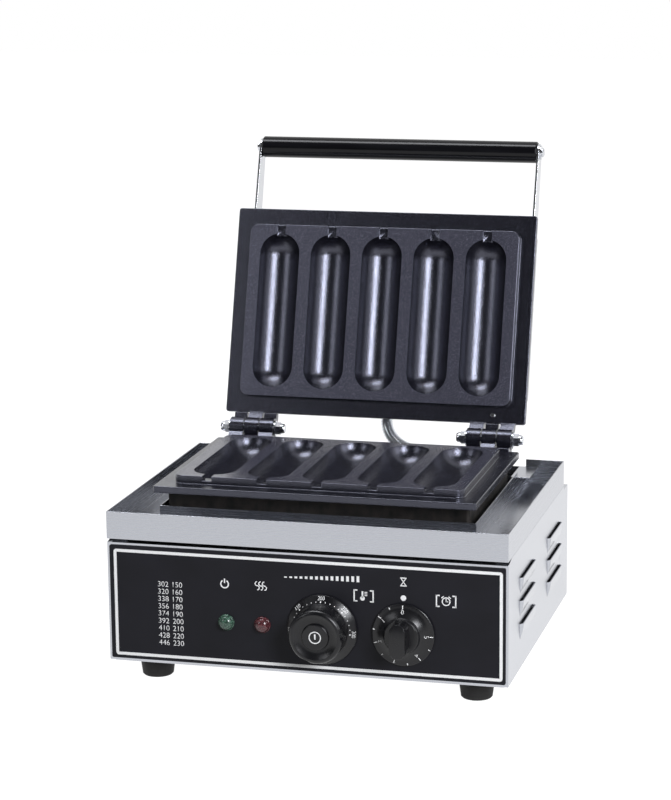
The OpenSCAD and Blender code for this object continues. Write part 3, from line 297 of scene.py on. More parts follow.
@dataclass(frozen=True)
class NonstickCoat(Finish):
    """Black sprayed coat on cast aluminium: pebbles and paler specks make its shine sparkle."""

    first: str = "#08080C"
    second: str = "#2C2C36"
    smooth: float = 0.18
    rough: float = 0.24
    # The real pebbles are about 0.3 mm wide; they are drawn at 0.9 mm so that they show
    tone: Pattern = Pattern((0.9, 0.9, 0.9), band=(0.5, 0.78))
    gloss: Pattern = Pattern((26, 26, 26))
    bump: Pattern = tone
    depth_mm: float = 0.18
    shine: float = 0.95
    sheen: str = "#E6E9FF"


@dataclass(frozen=True)
class FilmPanel(Finish):
    """Black printed film: faint clouds in the black under a fine satin skin."""

    first: str = "#17171B"
    second: str = "#1D1D22"
    smooth: float = 0.36
    rough: float = 0.46
    tone: Pattern = Pattern((55, 55, 40))
    gloss: Pattern = tone
    # The real skin is finer than 0.2 mm; it is drawn at 0.7 mm so that it shows
    bump: Pattern = Pattern((0.7, 0.7, 0.7), 1.0)
    depth_mm: float = 0.012
    shine: float = 0.12


@dataclass(frozen=True)
class MouldedPlastic(Finish):
    """Moulded plastic: flow marks change tone and gloss under a fine spark texture."""

    first: str = "#0C0C0E"
    second: str = "#121215"
    smooth: float = 0.24
    rough: float = 0.33
    tone: Pattern = Pattern((14, 14, 22))
    gloss: Pattern = tone
    # Real spark marks are about 0.15 mm wide; they are drawn coarser so that they show
    bump: Pattern = Pattern((0.5, 0.5, 0.5), 1.0)
    depth_mm: float = 0.012
    shine: float = 0.35


@dataclass(frozen=True)
class PhenolicGloss(Finish):
    """Glossy black phenolic: faint moulding flow along the bar changes its gloss."""

    first: str = "#08080A"
    second: str = "#0E0E11"
    smooth: float = 0.12
    rough: float = 0.2
    tone: Pattern = Pattern((70, 5, 5), 3.0)
    gloss: Pattern = tone
    bump: Pattern = tone
    depth_mm: float = 0.008
    shine: float = 0.2


@dataclass(frozen=True)
class LensPlastic(Finish):
    """Tinted lamp lens: small prisms cut into its inside shade the tint under a glossy skin."""

    first: str = "#587867"
    second: str = "#223A2F"
    smooth: float = 0.14
    rough: float = 0.22
    tone: Pattern = Cells((1.6, 1.6, 1.6))
    gloss: Pattern = tone
    clear: float = 0.12


@dataclass(frozen=True)
class StainedMetal(Finish):
    """Metal that heat or air has stained: patches of two tones and two glosses."""

    first: str = "#232323"
    second: str = "#3A3633"
    smooth: float = 0.42
    rough: float = 0.6
    tone: Pattern = Pattern((9, 9, 14), 4.0)
    gloss: Pattern = tone
    bump: Pattern = tone
    depth_mm: float = 0.05
    metal: float = 0.7


@dataclass(frozen=True)
class PrintInk(Finish):
    """White screen ink: the mesh of the screen leaves its layer a little uneven."""

    first: str = "#F1F1EF"
    second: str = "#DCDCDC"
    smooth: float = 0.5
    rough: float = 0.62
    # A real screen has about five threads to the millimetre; its mesh is drawn coarser to show
    tone: Pattern = Pattern((0.8, 0.8, 0.8), 1.0)
    gloss: Pattern = tone
    shine: float = 0.3


FINISHES: dict[str, Finish] = {
    # Cold-rolled stainless sheet, brushed level: soft streaks of light on pale grey
    "stainless_sheet": BrushedSheet("stainless_sheet_brushed"),
    # The tray's sheet is brushed more finely: an even satin grey
    "tray_sheet": BrushedSheet("stainless_sheet_bright", first="#AFB1B7", second="#B1B3B9",
                               smooth=0.26, rough=0.28),
    # Plated screws, pins and arms: small bright mirrors
    "bright_steel": PolishedSteel("steel_polished"),
    # Wound strip steel: a line of light along each rib
    "conduit_steel": PolishedSteel("hose_steel_bright", first="#D6D8DC", second="#E4E6E9",
                                   smooth=0.1, rough=0.14),
    # Sprayed coat: black with a bluish shine and fine specks
    "nonstick_casting": NonstickCoat("nonstick_coat_black"),
    # Painted sheen: the broadest flat face of each casting is painted a paler grey than the rest
    # of the coat, to stand in for the light it reflects
    "nonstick_painted_sheen": NonstickCoat("nonstick_coat_painted_sheen", first="#2E2E36", second="#52525F"),
    # Steel near the heater: dull brown and black patches
    "dark_steel": StainedMetal("steel_heat_stained"),
    # Printed polyester film: an even near-black with hardly any shine
    "fascia_black": FilmPanel("polyester_film_black"),
    # Moulded nylon: black with a broad soft sheen
    "black_plastic": MouldedPlastic("nylon_moulded_black"),
    # Phenolic resin: deep black with one clear line of light
    "grip_black": PhenolicGloss("phenolic_gloss_black"),
    # Rubber: matt, a little dusty
    "foot_rubber": MouldedPlastic("rubber_foot_black", first="#141414", second="#1D1C1C",
                                  smooth=0.62, rough=0.78, depth_mm=0.05,
                                  bump=Pattern((0.9, 0.9, 0.9), 1.0)),
    # Acrylic: a glassy skin over dim prisms, because the lamps are off
    "lens_green": LensPlastic("acrylic_lens_green"),
    "lens_red": LensPlastic("acrylic_lens_red", first="#6E3E42", second="#3C1B1F"),
    # Bare copper: warm metal with darker spots
    "copper": StainedMetal("copper_bare", first="#B87352", second="#8A5238", metal=1.0,
                           smooth=0.3, rough=0.45),
    # Moulded nylon of the terminals: dull cream
    "cream_plastic": MouldedPlastic("nylon_terminal_cream", first="#D9D1BC", second="#E2DBC9",
                                    smooth=0.45, rough=0.6),
    # Screen ink: flat white
    "white_ink": PrintInk("screen_ink_white"),
}


def finish_object(work: bmesh.types.BMesh, name: str, body: Body, slot: str,
                  smooth_deg: float = 0.0) -> bpy.types.Object:
    """Turn a worked mesh into a finished piece that rides on a body.

    Args:
        work: The worked mesh, which is freed.
        name: The piece's name.
        body: The body that carries it.
        slot: The material slot whose finish it takes.
        smooth_deg: Edges that turn less than this are shaded smooth; 0 keeps all faces flat.

    Returns:
        The finished object.
    """
    mesh = bpy.data.meshes.new(name)
    work.to_mesh(mesh)
    work.free()
    if smooth_deg:
        mesh.shade_smooth()
        mesh.set_sharp_from_angle(angle=math.radians(smooth_deg))
    piece = bpy.data.objects.new(name, mesh)
    bpy.context.scene.collection.objects.link(piece)
    mesh.materials.append(FINISHES[slot].material())
    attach(piece, body.value)
    LOG.info("%s: %d faces on %s", name, len(mesh.polygons), body.value)
    return piece


class InkSheet:
    """Flat print that is drawn in millimetres and then laid on a surface."""

    thickness_mm = 0.05
    corner_steps = 6
    arc_step_deg = 12
    least_arc_steps = 4
    # Takes a little off the font's strokes
    font_offset = -0.006

    def __init__(self) -> None:
        """Start with an empty sheet."""
        self.sheet = bmesh.new()

    def disc(self, x: float, y: float, radius: float, sides: int = 24) -> None:
        """Draw a filled round spot."""
        bmesh.ops.create_circle(self.sheet, cap_ends=True, segments=sides, radius=radius,
                                matrix=Matrix.Translation((x, y, 0)))

    def bar(self, x0: float, y0: float, x1: float, y1: float, width: float) -> None:
        """Draw a straight bar of a width from one point to another.

        Args:
            x0: Start, across.
            y0: Start, up.
            x1: End, across.
            y1: End, up.
            width: Width of the bar.
        """
        run = Vector((x1 - x0, y1 - y0, 0))
        turn = Matrix.Rotation(math.atan2(run.y, run.x), 4, "Z")
        place = Matrix.Translation(((x0 + x1) / 2, (y0 + y1) / 2, 0)) @ turn
        bmesh.ops.create_grid(self.sheet, x_segments=1, y_segments=1, size=0.5,
                              matrix=place @ Matrix.Diagonal((run.length, width, 1, 1)))

    def arc(self, x: float, y: float, radius: float, width: float, start_deg: float,
            sweep_deg: float) -> None:
        """Draw a bent bar round a centre.

        Args:
            x: Centre, across.
            y: Centre, up.
            radius: Radius of the bar's middle.
            width: Width of the bar.
            start_deg: Where it starts, from the right and counter-clockwise.
            sweep_deg: How far it goes.
        """
        turn = Matrix.Rotation(math.radians(start_deg), 3, "Z")
        ends = [self.sheet.verts.new(Vector((x, y, 0)) + turn @ Vector((radius + d, 0, 0)))
                for d in (-width / 2, width / 2)]
        bmesh.ops.spin(self.sheet, geom=ends + [self.sheet.edges.new(ends)], cent=(x, y, 0),
                       axis=(0, 0, 1), angle=math.radians(sweep_deg),
                       steps=max(self.least_arc_steps, int(sweep_deg / self.arc_step_deg)),
                       use_merge=sweep_deg >= 360)

    def border(self, x0: float, y0: float, x1: float, y1: float, width: float,
               corner: float) -> None:
        """Draw a border with rounded corners.

        Args:
            x0: Left edge.
            y0: Lower edge.
            x1: Right edge.
            y1: Upper edge.
            width: Width of the border's line.
            corner: Outer corner radius.
        """
        place = Matrix.Translation(((x0 + x1) / 2, (y0 + y1) / 2, 0))
        made = bmesh.ops.create_grid(self.sheet, x_segments=1, y_segments=1, size=0.5,
                                     matrix=place @ Matrix.Diagonal((x1 - x0, y1 - y0, 1, 1)))
        face = made["verts"][0].link_faces[0]
        bent = bmesh.ops.bevel(self.sheet, geom=list(face.verts), offset=corner,
                               offset_type="OFFSET", affect="VERTICES",
                               segments=self.corner_steps, profile=0.5, material=-1)
        face = max((f for v in bent["verts"] for f in v.link_faces), key=lambda f: f.calc_area())
        bmesh.ops.inset_region(self.sheet, faces=[face], thickness=width, use_even_offset=True,
                               use_boundary=True)
        bmesh.ops.delete(self.sheet, geom=[face], context="FACES")

    def digits(self, text: str, x: float, y: float, height: float, turn_deg: float = 0.0) -> None:
        """Write plain digits about a middle point.

        Args:
            text: The digits.
            x: Middle, across.
            y: Middle, up.
            height: Height of a digit.
            turn_deg: Turn about the middle, counter-clockwise.
        """
        line = bpy.data.curves.new("digits", "FONT")
        line.body = text
        line.offset = self.font_offset
        holder = bpy.data.objects.new("digits", line)
        mesh = bpy.data.meshes.new_from_object(holder)
        spots = [v.co for v in mesh.vertices]
        low = Vector([min(s[i] for s in spots) for i in range(3)])
        high = Vector([max(s[i] for s in spots) for i in range(3)])
        turn = Matrix.Rotation(math.radians(turn_deg), 4, "Z")
        mesh.transform(Matrix.Translation((x, y, 0)) @ turn
                       @ Matrix.Scale(height / (high.y - low.y), 4)
                       @ Matrix.Translation(-(low + high) / 2))
        self.sheet.from_mesh(mesh)
        bpy.data.objects.remove(holder)
        bpy.data.curves.remove(line)
        bpy.data.meshes.remove(mesh)

    def lay(self, name: str, body: Body, surface: Callable[[Vector], Vector]) -> bpy.types.Object:
        """Give the ink its thickness and lay it on a surface.

        Args:
            name: The piece's name.
            body: The body that carries the surface.
            surface: Gives the place on the surface for a point of the sheet, whose Z is the
                height above it.

        Returns:
            The finished print.
        """
        for vert in self.sheet.verts:
            vert.co.z = 0.0
        bmesh.ops.triangulate(self.sheet, faces=self.sheet.faces[:])
        for face in self.sheet.faces:
            if face.normal.z < 0:
                face.normal_flip()
        made = bmesh.ops.extrude_face_region(self.sheet, geom=self.sheet.faces[:])
        for vert in (v for v in made["geom"] if isinstance(v, bmesh.types.BMVert)):
            vert.co.z = self.thickness_mm
        for vert in self.sheet.verts:
            vert.co = surface(vert.co)
        bmesh.ops.recalc_face_normals(self.sheet, faces=self.sheet.faces[:])
        return finish_object(self.sheet, name, body, "white_ink")


@dataclass(frozen=True)
class Sign:
    """A small sign, as strokes in millimetres from its middle.

    A disc is x, y and radius. A bar is both its ends and its width. An arc is x, y, radius,
    width, and its start and sweep in degrees.
    """

    discs: Strokes = ()
    bars: Strokes = ()
    arcs: Strokes = ()

    def draw(self, sheet: InkSheet, x: float, y: float) -> None:
        """Draw the sign about a middle point.

        Args:
            sheet: The sheet that takes the ink.
            x: Middle, across.
            y: Middle, up.
        """
        for across, up, radius in self.discs:
            sheet.disc(x + across, y + up, radius)
        for x0, y0, x1, y1, width in self.bars:
            sheet.bar(x + x0, y + y0, x + x1, y + y1, width)
        for across, up, *bend in self.arcs:
            sheet.arc(x + across, y + up, *bend)


# Widths of the signs' strokes
BOLD, PLAIN, FINE, HAIR = 1.1, 0.88, 0.77, 0.7
SIDES = (-1, 1)
INDEX_DOT = Sign(discs=((0, 0, 2.4),))
# An open ring and a stroke
POWER = Sign(arcs=((0, 0, 3.4, BOLD, 122, 296),), bars=((0, 0.8, 0, 4.8, BOLD),))
# Three rising waves of warm air
HEAT = Sign(arcs=[(3.2 * k, 1.8 * s, 1.8, PLAIN, 90 * s, 180) for k in (-1, 0, 1) for s in SIDES])
# A row of bars that grow to the right
RISING = Sign(bars=[(4.5 * k - 31.5, -2.6, 4.5 * k - 31.5, 0.3 * k - 1.6, 2.4) for k in range(15)])
BRACKETS = Sign(bars=[(8.2 * s, -5.3, 8.2 * s, 5.3, BOLD) for s in SIDES]
                + [(8.2 * s, up, 5.4 * s, up, BOLD) for s in SIDES for up in (-4.75, 4.75)])
# A bulb, a tube and three ticks
THERMOMETER = Sign(discs=((-1, -2.2, 2.0),), bars=[(-1, -1.6, -1, 4.0, 1.5)]
                   + [(0.8, 0.4 + 1.4 * k, 3.2, 0.4 + 1.4 * k, HAIR) for k in range(3)])
# An hour glass: two lids and two crossed sides
GLASS = Sign(bars=[(-2.8, 3.4 * s, 2.8, 3.4 * s, PLAIN) for s in SIDES]
             + [(-2.2 * s, -3.2, 2.2 * s, 3.2, FINE) for s in SIDES])
# A clock with two hands and two bells
CLOCK = Sign(arcs=((0, -0.3, 3.3, PLAIN, 0, 360),),
             bars=[(0, -0.6, 0, 2.0, 0.8), (-0.3, -0.3, 1.9, -0.3, 0.8)]
             + [(2.0 * s, 4.2, 4.0 * s, 2.6, PLAIN) for s in SIDES])
# A plain ring and a pointer stroke
CAP_RING = Sign(arcs=((0, 0, 4.9, 0.9, 0, 360),), bars=((0, -1.6, 0, 3.0, 1.3),))

# Each sign of the panel with its place, across and up
PANEL_SIGNS: Sequence[tuple[Sign, float, float]] = (
    (INDEX_DOT, TIMER_X, 92.0), (POWER, -70.0, 94.3), (HEAT, -38.0, 94.6), (RISING, 15.4, 105.9),
    (BRACKETS, 51.7, 91.7), (THERMOMETER, 51.7, 91.7), (GLASS, TIMER_X, 106.0),
    (BRACKETS, 122.4, 91.6), (CLOCK, 122.4, 91.6),
)


@dataclass
class PanelPrint:
    """White print on the front panel: border, number table and signs."""

    left: float = -169.0
    right: float = 170.4
    low: float = 25.0
    high: float = 119.5
    line: float = 2.6
    corner: float = 2.4
    row_top: float = 90.7
    row_pitch: float = 6.5
    rows: int = 9
    column_x: tuple[float, float] = (-125.0, -112.2)
    digit_h: float = 4.6
    first_celsius: int = 150
    step_celsius: int = 10
    lift: float = 0.01

    def build(self) -> None:
        """Draw the print and lay it on the panel."""
        sheet = InkSheet()
        sheet.border(self.left, self.low, self.right, self.high, self.line, self.corner)
        for row in range(self.rows):
            celsius = self.first_celsius + row * self.step_celsius
            z = self.row_top - row * self.row_pitch
            for x, value in zip(self.column_x, (round(celsius * 1.8 + 32), celsius)):
                sheet.digits(str(value), x, z, self.digit_h)
        for sign, x, z in PANEL_SIGNS:
            sign.draw(sheet, x, z)
        sheet.lay("panel_print", Body.BASE, lambda p: at(p.x, PANEL_Y - p.z - self.lift, p.y))


@dataclass
class DialPrint:
    """White print on a knob, which turns with it; the profile is radius and height, inwards."""

    body: Body
    x: float
    profile: Sequence[tuple[float, float]]
    lift: float = 0.02

    def height(self, radius: float) -> float:
        """Give the knob's height above the panel at a radius.

        Args:
            radius: Distance from the spindle.

        Returns:
            The height of the knob there.
        """
        points = self.profile
        for (r0, h0), (r1, h1) in zip(points, points[1:]):
            if r1 <= radius <= r0:
                return h0 + (h1 - h0) * (r0 - radius) / (r0 - r1)
        return points[0][1] if radius > points[0][0] else points[-1][1]

    def surface(self, point: Vector) -> Vector:
        """Lay a point of the flat sheet on the knob.

        Args:
            point: Across and up from the spindle as the user sees the dial, and the height
                above the knob.

        Returns:
            The place in the shared frame.
        """
        proud = self.height(math.hypot(point.x, point.y)) + point.z + self.lift
        return at(self.x + point.x, PANEL_Y - proud, SPINDLE_Z + point.y)

    def way(self, turn_deg: float) -> Vector:
        """Give the direction at a turn from the right, counter-clockwise."""
        return Vector((math.cos(math.radians(turn_deg)), math.sin(math.radians(turn_deg))))


@dataclass
class TemperatureDial(DialPrint):
    """Numbers from 100 to 300 with a dot for every ten degrees."""

    numbers: Sequence[int] = (100, 150, 200, 250, 300)
    number_turn: float = 47.0
    number_r: float = 28.0
    number_h: float = 2.9
    dots_per_number: int = 5
    dot_r: float = 25.3
    dot_size: float = 0.36
    big_dot: float = 0.62
    dot_sides: int = 10
    off_mark: tuple[float, ...] = (0, -29.0, 0, -26.8, 0.9)

    def build(self) -> None:
        """Draw the dial and lay it on the temperature knob's skirt."""
        sheet = InkSheet()
        spans = len(self.numbers) - 1
        for k, value in enumerate(self.numbers):
            turn = 90 + (spans / 2 - k) * self.number_turn
            spot = self.way(turn) * self.number_r
            sheet.digits(str(value), spot.x, spot.y, self.number_h, turn - 90)
        for k in range(spans * self.dots_per_number + 1):
            turn = 90 + (spans / 2 - k / self.dots_per_number) * self.number_turn
            size = self.dot_size if k % self.dots_per_number else self.big_dot
            sheet.disc(*(self.way(turn) * self.dot_r), size, self.dot_sides)
        sheet.bar(*self.off_mark)
        sheet.lay("temperature_dial_print", self.body, self.surface)


@dataclass
class CapMark(DialPrint):
    """Plain ring and pointer stroke in the middle of the temperature knob's cap."""

    def build(self) -> None:
        """Draw the mark and lay it on the cap."""
        sheet = InkSheet()
        CAP_RING.draw(sheet, 0, 0)
        sheet.lay("cap_mark", self.body, self.surface)


@dataclass
class TimerDial(DialPrint):
    """Minutes from 0 to 5 with ticks at the rim."""

    minutes: int = 5
    minute_turn: float = 54.0
    rim_r: float = 26.1
    long_tick: float = 3.0
    short_tick: float = 1.6
    tick_w: float = 0.8
    digit_r: float = 20.6
    digit_h: float = 3.6

    def build(self) -> None:
        """Draw the dial and lay it on the timer knob's skirt."""
        sheet = InkSheet()
        for k in range(self.minutes + 1):
            turn = 90 + k * self.minute_turn
            spot = self.way(turn) * self.digit_r
            sheet.digits(str(k), spot.x, spot.y, self.digit_h, turn - 90)
        for k in range(2 * self.minutes + 1):
            way = self.way(90 + k * self.minute_turn / 2)
            tick = self.short_tick if k % 2 else self.long_tick
            sheet.bar(*(way * (self.rim_r - tick)), *(way * self.rim_r), self.tick_w)
        sheet.lay("timer_dial_print", self.body, self.surface)


@dataclass
class RibbedHose:
    """Ribbed metal hose that carries the wires from the base to the lid, built as one rigid piece
    in the open-lid shape.
    """

    diameter: float = 12.5
    rib_depth: float = 0.9
    crest_drop: float = 0.15
    ribs: int = 103
    sides: int = 28
    start: Vector = field(default_factory=lambda: Vector((3.0, 147.464, 191.326)))
    lead: Vector = field(default_factory=lambda: Vector((0.0, -0.2924, -0.9563)))
    end: Vector = field(default_factory=lambda: Vector((72.0, 151.0, 41.0)))
    straight: float = 12.5
    # The curve's inner pulls: along the lead, from the first point, and two fixed ones
    lead_pull: float = 39.0
    side_pull: tuple[float, ...] = (65, -37, -46)
    back_pull: tuple[float, ...] = (105, 205, 192)
    low_pull: tuple[float, ...] = (72, 233.5, 41)
    steps: int = 400
    path_skip: int = 8
    merge: float = 0.001
    slack: float = 1e-9
    smooth_deg: float = 50.0

    def route(self) -> list[Vector]:
        """Work out the hose's middle line: straight out of both glands, one pulled curve between.

        Returns:
            Points in millimetres from the middle of the box.
        """
        first = self.start + self.lead * self.straight
        last = self.end + Vector((0, self.straight, 0))
        pulls = [first, first + self.lead * self.lead_pull, first + Vector(self.side_pull),
                 Vector(self.back_pull), Vector(self.low_pull), last]
        top = len(pulls) - 1
        line = [self.start]
        for k in range(self.steps + 1):
            t = k / self.steps
            shares = [math.comb(top, i) * t ** i * (1 - t) ** (top - i) for i in range(top + 1)]
            line.append(sum((p * s for p, s in zip(pulls, shares)), Vector()))
        return line + [self.end]

    def build(self) -> bpy.types.Object:
        """Spin a straight ribbed tube and carry it along the route.

        Returns:
            The hose, which replaces its plain solid.
        """
        line = self.route()
        gone = [0.0]
        for a, b in zip(line, line[1:]):
            gone.append(gone[-1] + (b - a).length)
        length = gone[-1]
        tube = bmesh.new()
        verts = [tube.verts.new((r, 0, z)) for r, z in self.profile(length)]
        edges = [tube.edges.new(pair) for pair in zip(verts, verts[1:])]
        bmesh.ops.spin(tube, geom=verts + edges, cent=(0, 0, 0), axis=(0, 0, 1), angle=math.tau,
                       steps=self.sides, use_merge=True)
        bmesh.ops.remove_doubles(tube, verts=tube.verts[:], dist=self.merge)
        bmesh.ops.recalc_face_normals(tube, faces=tube.faces[:])
        frames = self.frames(line)
        for vert in tube.verts:
            place, across, up = self.along(vert.co.z, line, gone, frames)
            vert.co = at(*(place + across * vert.co.x + up * vert.co.y))
        piece = finish_object(tube, "ribbed_hose", Body.BASE, "conduit_steel", self.smooth_deg)
        piece.parent = None
        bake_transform(piece)
        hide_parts("conduit")
        at(*self.start)
        [at(*p) for p in line[::self.path_skip] + [line[-1]]]
        return piece

    def profile(self, length: float) -> list[tuple[float, float]]:
        """Give the outline of the straight tube, closed at both ends.

        Args:
            length: The hose's length.

        Returns:
            Radius and length along the tube of each point.
        """
        crest, root = self.diameter / 2, self.diameter / 2 - self.rib_depth
        pitch = length / self.ribs
        # Radius and share of the pitch for the points of one rib
        rib = ((root, 0.2), (crest - self.crest_drop, 0.36), (crest, 0.52),
               (crest - self.crest_drop, 0.68), (root, 0.84))
        ribs = [(r, (k + share) * pitch) for k in range(self.ribs) for r, share in rib]
        return [(0.0, 0.0), (root, 0.0)] + ribs + [(root, length), (0.0, length)]

    def frames(self, line: list[Vector]) -> list[tuple[Vector, Vector]]:
        """Carry a cross direction along the line without twist.

        Args:
            line: The hose's middle line.

        Returns:
            Two cross directions for each point.
        """
        made = []
        across = Vector((1, 0, 0))
        for k in range(len(line)):
            ahead = (line[min(k + 1, len(line) - 1)] - line[max(k - 1, 0)]).normalized()
            across = (across - ahead * across.dot(ahead)).normalized()
            made.append((across, ahead.cross(across)))
        return made

    def along(self, s: float, line: list[Vector], gone: list[float],
              frames: list[tuple[Vector, Vector]]) -> tuple[Vector, Vector, Vector]:
        """Find the place and the cross directions at a length along the line.

        Args:
            s: Length from the start.
            line: The hose's middle line.
            gone: Length up to each point.
            frames: Cross directions at each point.

        Returns:
            The place and the two cross directions.
        """
        k = max(i for i, g in enumerate(gone[:-1]) if g <= s + self.slack)
        share = (s - gone[k]) / (gone[k + 1] - gone[k])
        across = frames[k][0].lerp(frames[k + 1][0], share).normalized()
        up = frames[k][1].lerp(frames[k + 1][1], share).normalized()
        return line[k].lerp(line[k + 1], share), across, up


@dataclass
class SoftEdges:
    """A copy of a part whose sharp edges are rounded as folding or casting leaves them."""

    node: str
    body: Body
    slot: str
    radius: float
    finish: str = ""
    # Where the flat that gets the painted sheen faces; None paints no sheen
    ground: tuple[float, float, float] | None = None
    segments: int = 3
    sharp_deg: float = 35.0
    smooth_deg: float = 32.0
    flat_deg: float = 0.4
    room: float = 2.2
    # Points closer than this are one, in metres
    merge: float = 2e-6
    # How nearly a flat has to face its way, and the height in millimetres that counts as one flat
    level: float = 0.9999
    layer: float = 0.5

    def build(self) -> bpy.types.Object:
        """Merge the copy, join its flat faces and round its sharp edges.

        Returns:
            The rounded piece, which replaces the part.
        """
        work = bmesh.new()
        work.from_mesh(frame["nodes"][self.node].data)
        bmesh.ops.remove_doubles(work, verts=work.verts[:], dist=self.merge)
        bmesh.ops.dissolve_limit(work, angle_limit=math.radians(self.flat_deg),
                                 verts=work.verts[:], edges=work.edges[:],
                                 use_dissolve_boundaries=False, delimit=set())
        # The broadest flat gets the paler coat, a painted sheen
        if self.ground:
            self.paint_sheen_flat(work, Vector(self.ground))
        bmesh.ops.bevel(work, geom=self.roomy_edges(work), offset=self.radius * MM,
                        offset_type="OFFSET", affect="EDGES", segments=self.segments, profile=0.5,
                        material=-1, clamp_overlap=False)
        piece = finish_object(work, f"{self.node}_soft", self.body, self.finish or self.slot,
                              self.smooth_deg)
        # Second slot: the paler coat that paints a sheen on the broadest flat
        if self.ground:
            piece.data.materials.append(FINISHES["nonstick_painted_sheen"].material())
        piece.modifiers.new("weighted_normals", "WEIGHTED_NORMAL").keep_sharp = True
        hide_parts(self.node)
        return piece

    def paint_sheen_flat(self, work: bmesh.types.BMesh, way: Vector) -> None:
        """Mark the broadest flat of the casting for the paler finish, which is a painted sheen.

        Args:
            work: The mesh of the casting.
            way: Where the flat faces.
        """
        areas: dict[int, float] = {}
        flats = [f for f in work.faces if f.normal.dot(way) > self.level]
        steps = [round(f.calc_center_median().dot(way) / (self.layer * MM)) for f in flats]
        for face, step in zip(flats, steps):
            areas[step] = areas.get(step, 0.0) + face.calc_area()
        broadest = max(areas, key=lambda step: areas[step])
        for face, step in zip(flats, steps):
            face.material_index = int(step == broadest)

    def roomy_edges(self, work: bmesh.types.BMesh) -> list[bmesh.types.BMEdge]:
        """Find the sharp edges that have room for rounding beside them and at their ends.

        Args:
            work: The mesh to search.

        Returns:
            The edges to round.
        """
        least = self.room * self.radius * MM
        sharp = math.radians(self.sharp_deg)
        chosen = {e for e in work.edges if e.is_manifold and e.calc_face_angle(0) > sharp
                  and min(f.calc_area() for f in e.link_faces) > least * e.calc_length()}
        tight = set(chosen)
        while tight:
            tight = {e for e in chosen if any(o not in chosen and o.calc_length() < least
                                              for v in e.verts for o in v.link_edges)}
            chosen -= tight
        return [e for e in work.edges if e in chosen]


@dataclass(frozen=True)
class SoftBox:
    """A soft studio lamp, with its place and target in millimetres from the middle of the box."""

    name: str
    place: tuple[float, float, float]
    target: tuple[float, float, float]
    size: tuple[float, float]
    watts: float
    color: tuple[float, float, float] = (0.94, 0.955, 1.0)

    def hang(self) -> None:
        """Hang the lamp and point it at its target."""
        data = bpy.data.lights.new(self.name, "AREA")
        data.shape = "RECTANGLE"
        data.size, data.size_y = self.size
        data.energy = self.watts
        data.color = self.color
        box = bpy.data.objects.new(self.name, data)
        box.location = at(*self.place)
        run = at(*self.target) - at(*self.place)
        box.rotation_euler = run.to_track_quat("-Z", "Y").to_euler()
        bpy.context.scene.collection.objects.link(box)


LAMPS = (
    SoftBox("key_right", (1543, -1780, 1210), (0, 60, 240), (0.7, 0.9), 66),
    SoftBox("side_left", (-1543, -1780, 1210), (0, 60, 240), (0.6, 0.9), 9),
    SoftBox("side_right", (1900, -300, 900), (0, 0, 150), (1.0, 1.2), 12),
    SoftBox("top", (-390, -50, 1900), (0, 0, 150), (0.5, 1.2), 22),
)


